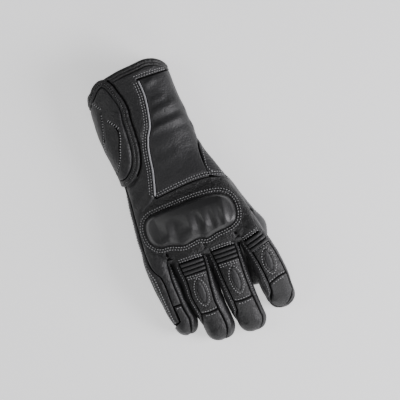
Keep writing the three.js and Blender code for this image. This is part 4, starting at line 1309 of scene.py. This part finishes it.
panel("palm_leather", palm_loop, on_palm, 1.0, 1.3, LEATHER, relief=palm_relief,
      grid=1.5)
BALL_LEATHER = [(-8, 59.6), (10, 60.6), (24, 60.2), (29, 55), (31.4, 44), (34, 30), (26, 27.4),
                (17, 27.4), (10.4, 42), (3.4, 48.6), (-8, 59.6)]
panel("thumb_ball_leather", outline(BALL_LEATHER), on_palm, 1.0, 1.3, SOFT_LEATHER,
      relief=lambda plan, inset: puffed(inset, 0.6, 6) + wrinkles(plan, 9, 5, 0.4), grid=1.4)
HEEL_PATCH = [[(-50, 42), (-49, 58)], [(-49, 58), (-30, 59.6), (-10, 58.6)], [(-10, 58.6), (1.6, 48)],
              [(1.6, 48), (-24, 46.6), (-50, 42)]]
PALM_PATCH = [(-51, 37), (-26, 41.6), (-3, 43), (5.4, 36), (4.4, 21), (-4.4, 12), (-20, 3.4), (-38, -3.4),
              (-49, -3), (-52, 14), (-51, 37)]
TRIANGLE = [(-46.6, 32.6), (-20.6, 36.8), (-26, 26.4)]
TRAPEZOID = [(-12.4, 28.8), (-6, 38.6), (2.6, 31), (0.8, 24.4)]
heel_loop, patch_loop = outline(*HEEL_PATCH), outline(PALM_PATCH)


def inset_ring(loop, distance):
    """A closed line that runs a distance inside a loop."""
    ways = unit(np.roll(loop, -1, axis=0) - np.roll(loop, 1, axis=0))
    side = np.column_stack([-ways[:, 1], ways[:, 0]])
    ring = loop + distance * side
    if within(ring, loop).mean() <= 0.5:
        ring = loop - distance * side
    ring = ring[within(ring, loop)]
    ring = ring[gap_to(ring, loop, closed=True) > 0.96 * distance]
    return np.vstack([ring, ring[:1]])


patch_rows = [inset_ring(patch_loop, 2.0), inset_ring(patch_loop, 4.2)]
heel_rows = [inset_ring(heel_loop, 1.8)]
panel("palm_patch_leather", patch_loop, on_palm, 2.1, 1.4, GRAIN_LEATHER,
      nodes=("palm_patch",),
      relief=lambda plan, inset: puffed(inset, 0.4, 4) + groove(plan, patch_rows, 0.35))
panel("heel_patch_leather", heel_loop, on_palm, 1.5, 1.4, GRAIN_LEATHER,
      nodes=("heel_patch",), relief=lambda plan, inset: groove(plan, heel_rows, 0.3))
sew("palm_stitches", patch_rows, on_palm, ["palm_patch_leather"])
sew("heel_stitches", heel_rows, on_palm, ["heel_patch_leather"])
for insert_name, corners in (("palm_insert_outer", TRIANGLE), ("palm_insert_inner", TRAPEZOID)):
    insert_loop = cornered(corners, step=1.0)
    insert = panel(insert_name + "_pad", insert_loop, below(over(["palm_patch_leather"])), 1.2, 2.4,
                   SOFT_LEATHER, nodes=(insert_name,), grid=1.1)
    sew(insert_name + "_stitches", ring_rows(insert_loop, 1.1), on_palm, ["palm_patch_leather"])

# Palm side of the cuff
# Smooth leather from the flap round to the thumb side, sewn to the palm leather at the wrist, with a stitched
# strap of firmer leather across the wrist.
CUFF_HALF_WIDTH, CUFF_HALF_HEIGHT = 43.0, 22.4
wrap_turns = np.linspace(math.pi, 0, 721)
wrap_across, wrap_up = rounded(wrap_turns, HAND_ROUNDNESS)
wrap_arcs = np.concatenate([[0], np.cumsum(np.hypot(np.diff(CUFF_HALF_WIDTH * wrap_across),
                                                    np.diff(CUFF_HALF_HEIGHT * wrap_up)))])
CUFF_GIRTH = 2 * wrap_arcs[-1]


def cuff_place(plan):
    """Lays outlines round the cuff: arc from the little-finger side, over the back where positive, and y."""
    arc = (plan[:, 0] + 0.5 * CUFF_GIRTH) % CUFF_GIRTH - 0.5 * CUFF_GIRTH
    turn = np.interp(np.abs(arc), wrap_arcs, wrap_turns)
    across, up = rounded(turn, HAND_ROUNDNESS)
    middle_x, middle_z, half_width, half_height, rise = section_at("hand", plan[:, 1])
    ways = np.column_stack([half_width * across, np.zeros(len(plan)),
                            np.where(arc < 0, -1, 1) * half_height * up + rise * half_width * across])
    starts = np.column_stack([middle_x, plan[:, 1], middle_z])
    return land(glove_skin, starts, ways, np.linalg.norm(ways, axis=1))


def wrapped(plan, side):
    """Arc and y round the cuff of plan points on its back (1) or its palm side (-1)."""
    plan = np.asarray(plan, float)
    middle_x, _, half_width, _, _ = section_at("hand", plan[:, 1])
    part = np.clip((plan[:, 0] - middle_x) / half_width, -1, 1)
    turn = np.arccos(np.sign(part) * np.abs(part) ** (0.5 * HAND_ROUNDNESS))
    return np.column_stack([side * np.interp(-turn, -wrap_turns, wrap_arcs), plan[:, 1]])


CUFF_THUMB_EDGE = [(27.4, 56), (26.6, 62), (25.6, 76), (24.2, 94), (22.8, 112), (21.6, 129)]
cuff_palm_loop = outline(
    wrapped(curve([(-44, 126), (-46, 100), (-48.5, 62), (-53, 40), (-55.6, 30)], 6), 1),
    [(0.0, 26.5), (-8.4, 30), (-10.8, 43.5)], wrapped(curve([(-51, 45), (-51, 60.2)], 5), -1),
    wrapped(curve([(-51, 60.2), (-14, 60.6), (-8, 61), (24, 61.8)], 5), -1),
    wrapped(curve(CUFF_THUMB_EDGE, 6), 1) - (CUFF_GIRTH, 0), wrapped([(24.6, 131.6)], 1) - (CUFF_GIRTH, 0),
    wrapped(curve([(20.8, 132.6), (12, 137), (-6, 140), (-30, 137), (-48, 128)], 6), -1),
    [(-4, 120), (6, 122)])


def cuff_palm_relief(plan, inset):
    ripples = 0.5 * np.sin(0.3 * plan[:, 1]) * np.exp(-((plan[:, 1] - 74) / 18) ** 2)
    return puffed(inset, 0.6, 6) + ripples


panel("cuff_palm_leather", cuff_palm_loop, cuff_place, 1.1, 1.3, SOFT_LEATHER,
      relief=cuff_palm_relief, grid=1.5)
STRAP = [[(25.4, 60.8), (25.4, 76.8)], [(25.4, 76.8), (-36, 76.8)],
         [(-36, 76.8), (-40, 74.6), (-42, 68.7), (-40, 62.8), (-36, 60.6)], [(-36, 60.6), (25.4, 60.8)]]
strap_loop = outline(*[wrapped(curve(side, 4), -1) for side in STRAP])
strap_rows = [inset_ring(strap_loop, 2.0)]
panel("wrist_strap_leather", strap_loop, cuff_place, 2.6, 1.4, LEATHER, nodes=("wrist_strap",),
      relief=lambda plan, inset: groove(plan, strap_rows, 0.35))
sew("strap_stitches", strap_rows, cuff_place, ["wrist_strap_leather"])

# Binding round the mouth of the cuff
# A strip of grained leather folded over the edge of the cuff, inside and out, and sewn so that it stands up
# in two rounded welts.
binding_arcs = np.linspace(-0.5 * CUFF_GIRTH, 0.5 * CUFF_GIRTH, 221)[:-1]
binding_turns = np.interp(np.abs(binding_arcs), wrap_arcs, wrap_turns)
_, mouth_x, _, mouth_half_width, _, _ = SECTIONS["hand"][1]
binding_x = mouth_x + mouth_half_width * rounded(binding_turns, HAND_ROUNDNESS)[0]
lip_line = np.column_stack([binding_arcs, lip_y(binding_x)])
lip_line[:, 1] = np.convolve(np.pad(lip_line[:, 1], 4, mode="wrap"), np.ones(9) / 9, mode="valid")
BINDING_PROFILE = [(-6.8, -0.3), (-6.6, 0.9), (-5.9, 1.5), (-4.9, 1.7), (-4.0, 1.5), (-3.5, 0.8),
                   (-3.0, 1.5), (-2.0, 1.8), (-0.8, 1.6), (0.2, 1.0), (0.7, -0.2), (0.7, -1.6), (0.1, -2.6),
                   (-1.5, -3.0), (-5.0, -2.9), (-6.4, -2.6), (-6.5, -1.9), (-0.6, -1.9), (-0.6, -0.3)]
strip("cuff_binding_leather", lip_line, cuff_place, BINDING_PROFILE, GRAIN_LEATHER,
      nodes=("cuff_binding",), closed_by=CUFF_GIRTH)

# Closing flap
# A broad leather flap round the little-finger side of the cuff, sewn down on the back and closed on the
# palm side by touch fastener. Its edge is bound in two rounded welts.
FLAP_PALM = [(-54, 70), (-44, 79), (-28, 82.5), (-5, 85), (2, 88.5), (8, 94.5), (11, 103), (11, 112),
             (8, 118), (2, 121), (-10, 124), (-34, 135.4), (-44, 138.6)]
FLAP_CORNER = [(-57.2, 130), (-51.5, 137.4), (-45, 140.6), (-39.5, 140.2)]
FLAP_BINDING_WIDTH = 7.2
flap_foot = np.vstack([wrapped(FLAP_EDGE[-1:], 1), [(0, 33.8), (-5, 40), (-9, 52)],
                       wrapped(FLAP_PALM[:1], -1)])
flap_mouth = np.vstack([wrapped(FLAP_PALM[-1:], -1), [(-9, 131.5), (0, 122.5)], wrapped(FLAP_CORNER, 1)])
flap_loop = outline(wrapped(FLAP_EDGE, 1), flap_foot, wrapped(FLAP_PALM, -1), flap_mouth, step=1.2)
flap_inner = inset_ring(flap_loop, FLAP_BINDING_WIDTH)[:-1]
FLAP_LINES = [[(-57.5, 121), (-52.4, 113.5)],
              [(-53.4, 108), (-54.6, 101), (-57, 90), (-59.4, 80), (-60.2, 70)],
              [(-49, 99.5), (-46, 95.5), (-42.2, 89.5)],
              [(-42.2, 86), (-44, 77), (-46.6, 70), (-49, 62), (-52, 55), (-55.6, 48.6)]]
flap_rows = [wrapped(curve([(x + 1.4, y) for x, y in line], 2.0), 1) for line in FLAP_LINES]
flap_steps = np.vstack([wrapped(curve(line, 2.0), 1) for line in FLAP_LINES[2:]])


def flap_relief(plan, inset):
    """The flap's outer layer ends at a stepped, stitched line, and the leather beyond it lies lower."""
    puff = puffed(inset, 0.6, 5) + wrinkles(plan, 7, 7, 0.3)
    beyond = np.interp(plan[:, 1], flap_steps[::-1, 1], flap_steps[::-1, 0]) - plan[:, 0]
    step = 1.4 * smooth_step(0.5 - beyond / 2.0)
    step = step * smooth_step((108 - plan[:, 1]) / 14) * smooth_step((plan[:, 1] - 34) / 16)
    return puff + step * (plan[:, 0] > -4) + groove(plan, flap_rows, 0.8)


def flap_binding_relief(plan, inset):
    away = gap_to(plan, flap_loop, closed=True)
    first, second = np.abs(away - 1.9) / 1.9, np.abs(away - 5.4) / 1.6
    return 1.3 * np.sqrt(np.clip(1 - first ** 2, 0, 1)) + 1.2 * np.sqrt(np.clip(1 - second ** 2, 0, 1)) - 1.0


def hatches(line, pitch, length):
    """Short lines across a line, one for each cross stitch."""
    middles = curve(line, pitch)
    ways = unit(np.gradient(middles, axis=0))
    across = 0.5 * length * np.column_stack([-ways[:, 1], ways[:, 0]])
    return [np.array([middle - half, middle + half]) for middle, half in zip(middles, across)]


panel("flap_leather", flap_inner, cuff_place, 3.2, 1.3, LEATHER, nodes=("cuff_flap",),
      relief=flap_relief)
panel("flap_binding_leather", flap_loop, cuff_place, 3.4, 1.0, GRAIN_LEATHER,
      nodes=("flap_binding",), relief=flap_binding_relief, hole=flap_inner,
      rings=(0.3, 0.9, 1.6, 2.3, 3.0, 3.4, 3.8, 4.2, 4.7, 5.3, 5.9, 6.5, 6.9))
on_flap = above(over(["flap_leather"]))
TAPES = {       # line and half width of the black tape along each edge of the flap's outer layer
    "flap_upper_tape": ([(-55.8, 117.8), (-54.6, 115.9), (-53.2, 113.6)], 0.5),
    "flap_side_tape": ([(-54.3, 108), (-55.5, 101), (-57.8, 90), (-60.0, 80)], 0.4),
    "flap_step_tape": ([(-50.2, 100.6), (-47.2, 96.6), (-43.8, 90.6), (-43.2, 86), (-45, 77), (-47.8, 69.6),
                        (-50, 62), (-53.2, 55), (-56.6, 48.8)], 0.75)}
for tape_name, (line, width) in TAPES.items():
    strip(tape_name, curve(line, 1.2), on_flap,
          [(-width, -0.5), (-width, 0.1), (0, 0.3), (width, 0.1), (width, -0.5)], BACKING)
# A thin strip of the black backing cloth runs along the flap's edge. It is painted shadow: it stands in for
# the shade in the gap under that edge, and is not a real part of the glove.
flap_shadow_line = curve(beside(curve(FLAP_EDGE[:-2], 3.0), 0.7), 1.2)
flap_shadow_line = flap_shadow_line[flap_shadow_line[:, 1] < 138.6]     # it ends on the binding, short of the mouth
strip("flap_edge_painted_shadow", flap_shadow_line,
      above(over(["back_leather", "flap_binding_leather", "cuff_binding_leather"])),
      [(-0.9, -0.6), (-0.9, 0.3), (0, 0.5), (0.9, 0.3), (0.9, -0.6)], BACKING)
sew("flap_stitches", [flap_rows[1], flap_rows[3]], cuff_place, ["flap_leather"], length=1.6, thick=1.4)
binding_row = inset_ring(flap_loop, 3.75)
sew("flap_binding_stitches", [binding_row], cuff_place, ["flap_binding_leather"], pitch=2.3, length=1.3,
    thick=0.7)
sew("flap_cross_stitches", hatches(flap_rows[0], 2.3, 3.4) + hatches(flap_rows[2], 2.3, 3.4), cuff_place,
    ["flap_leather"], pitch=3.3, length=3.2, thick=0.9)
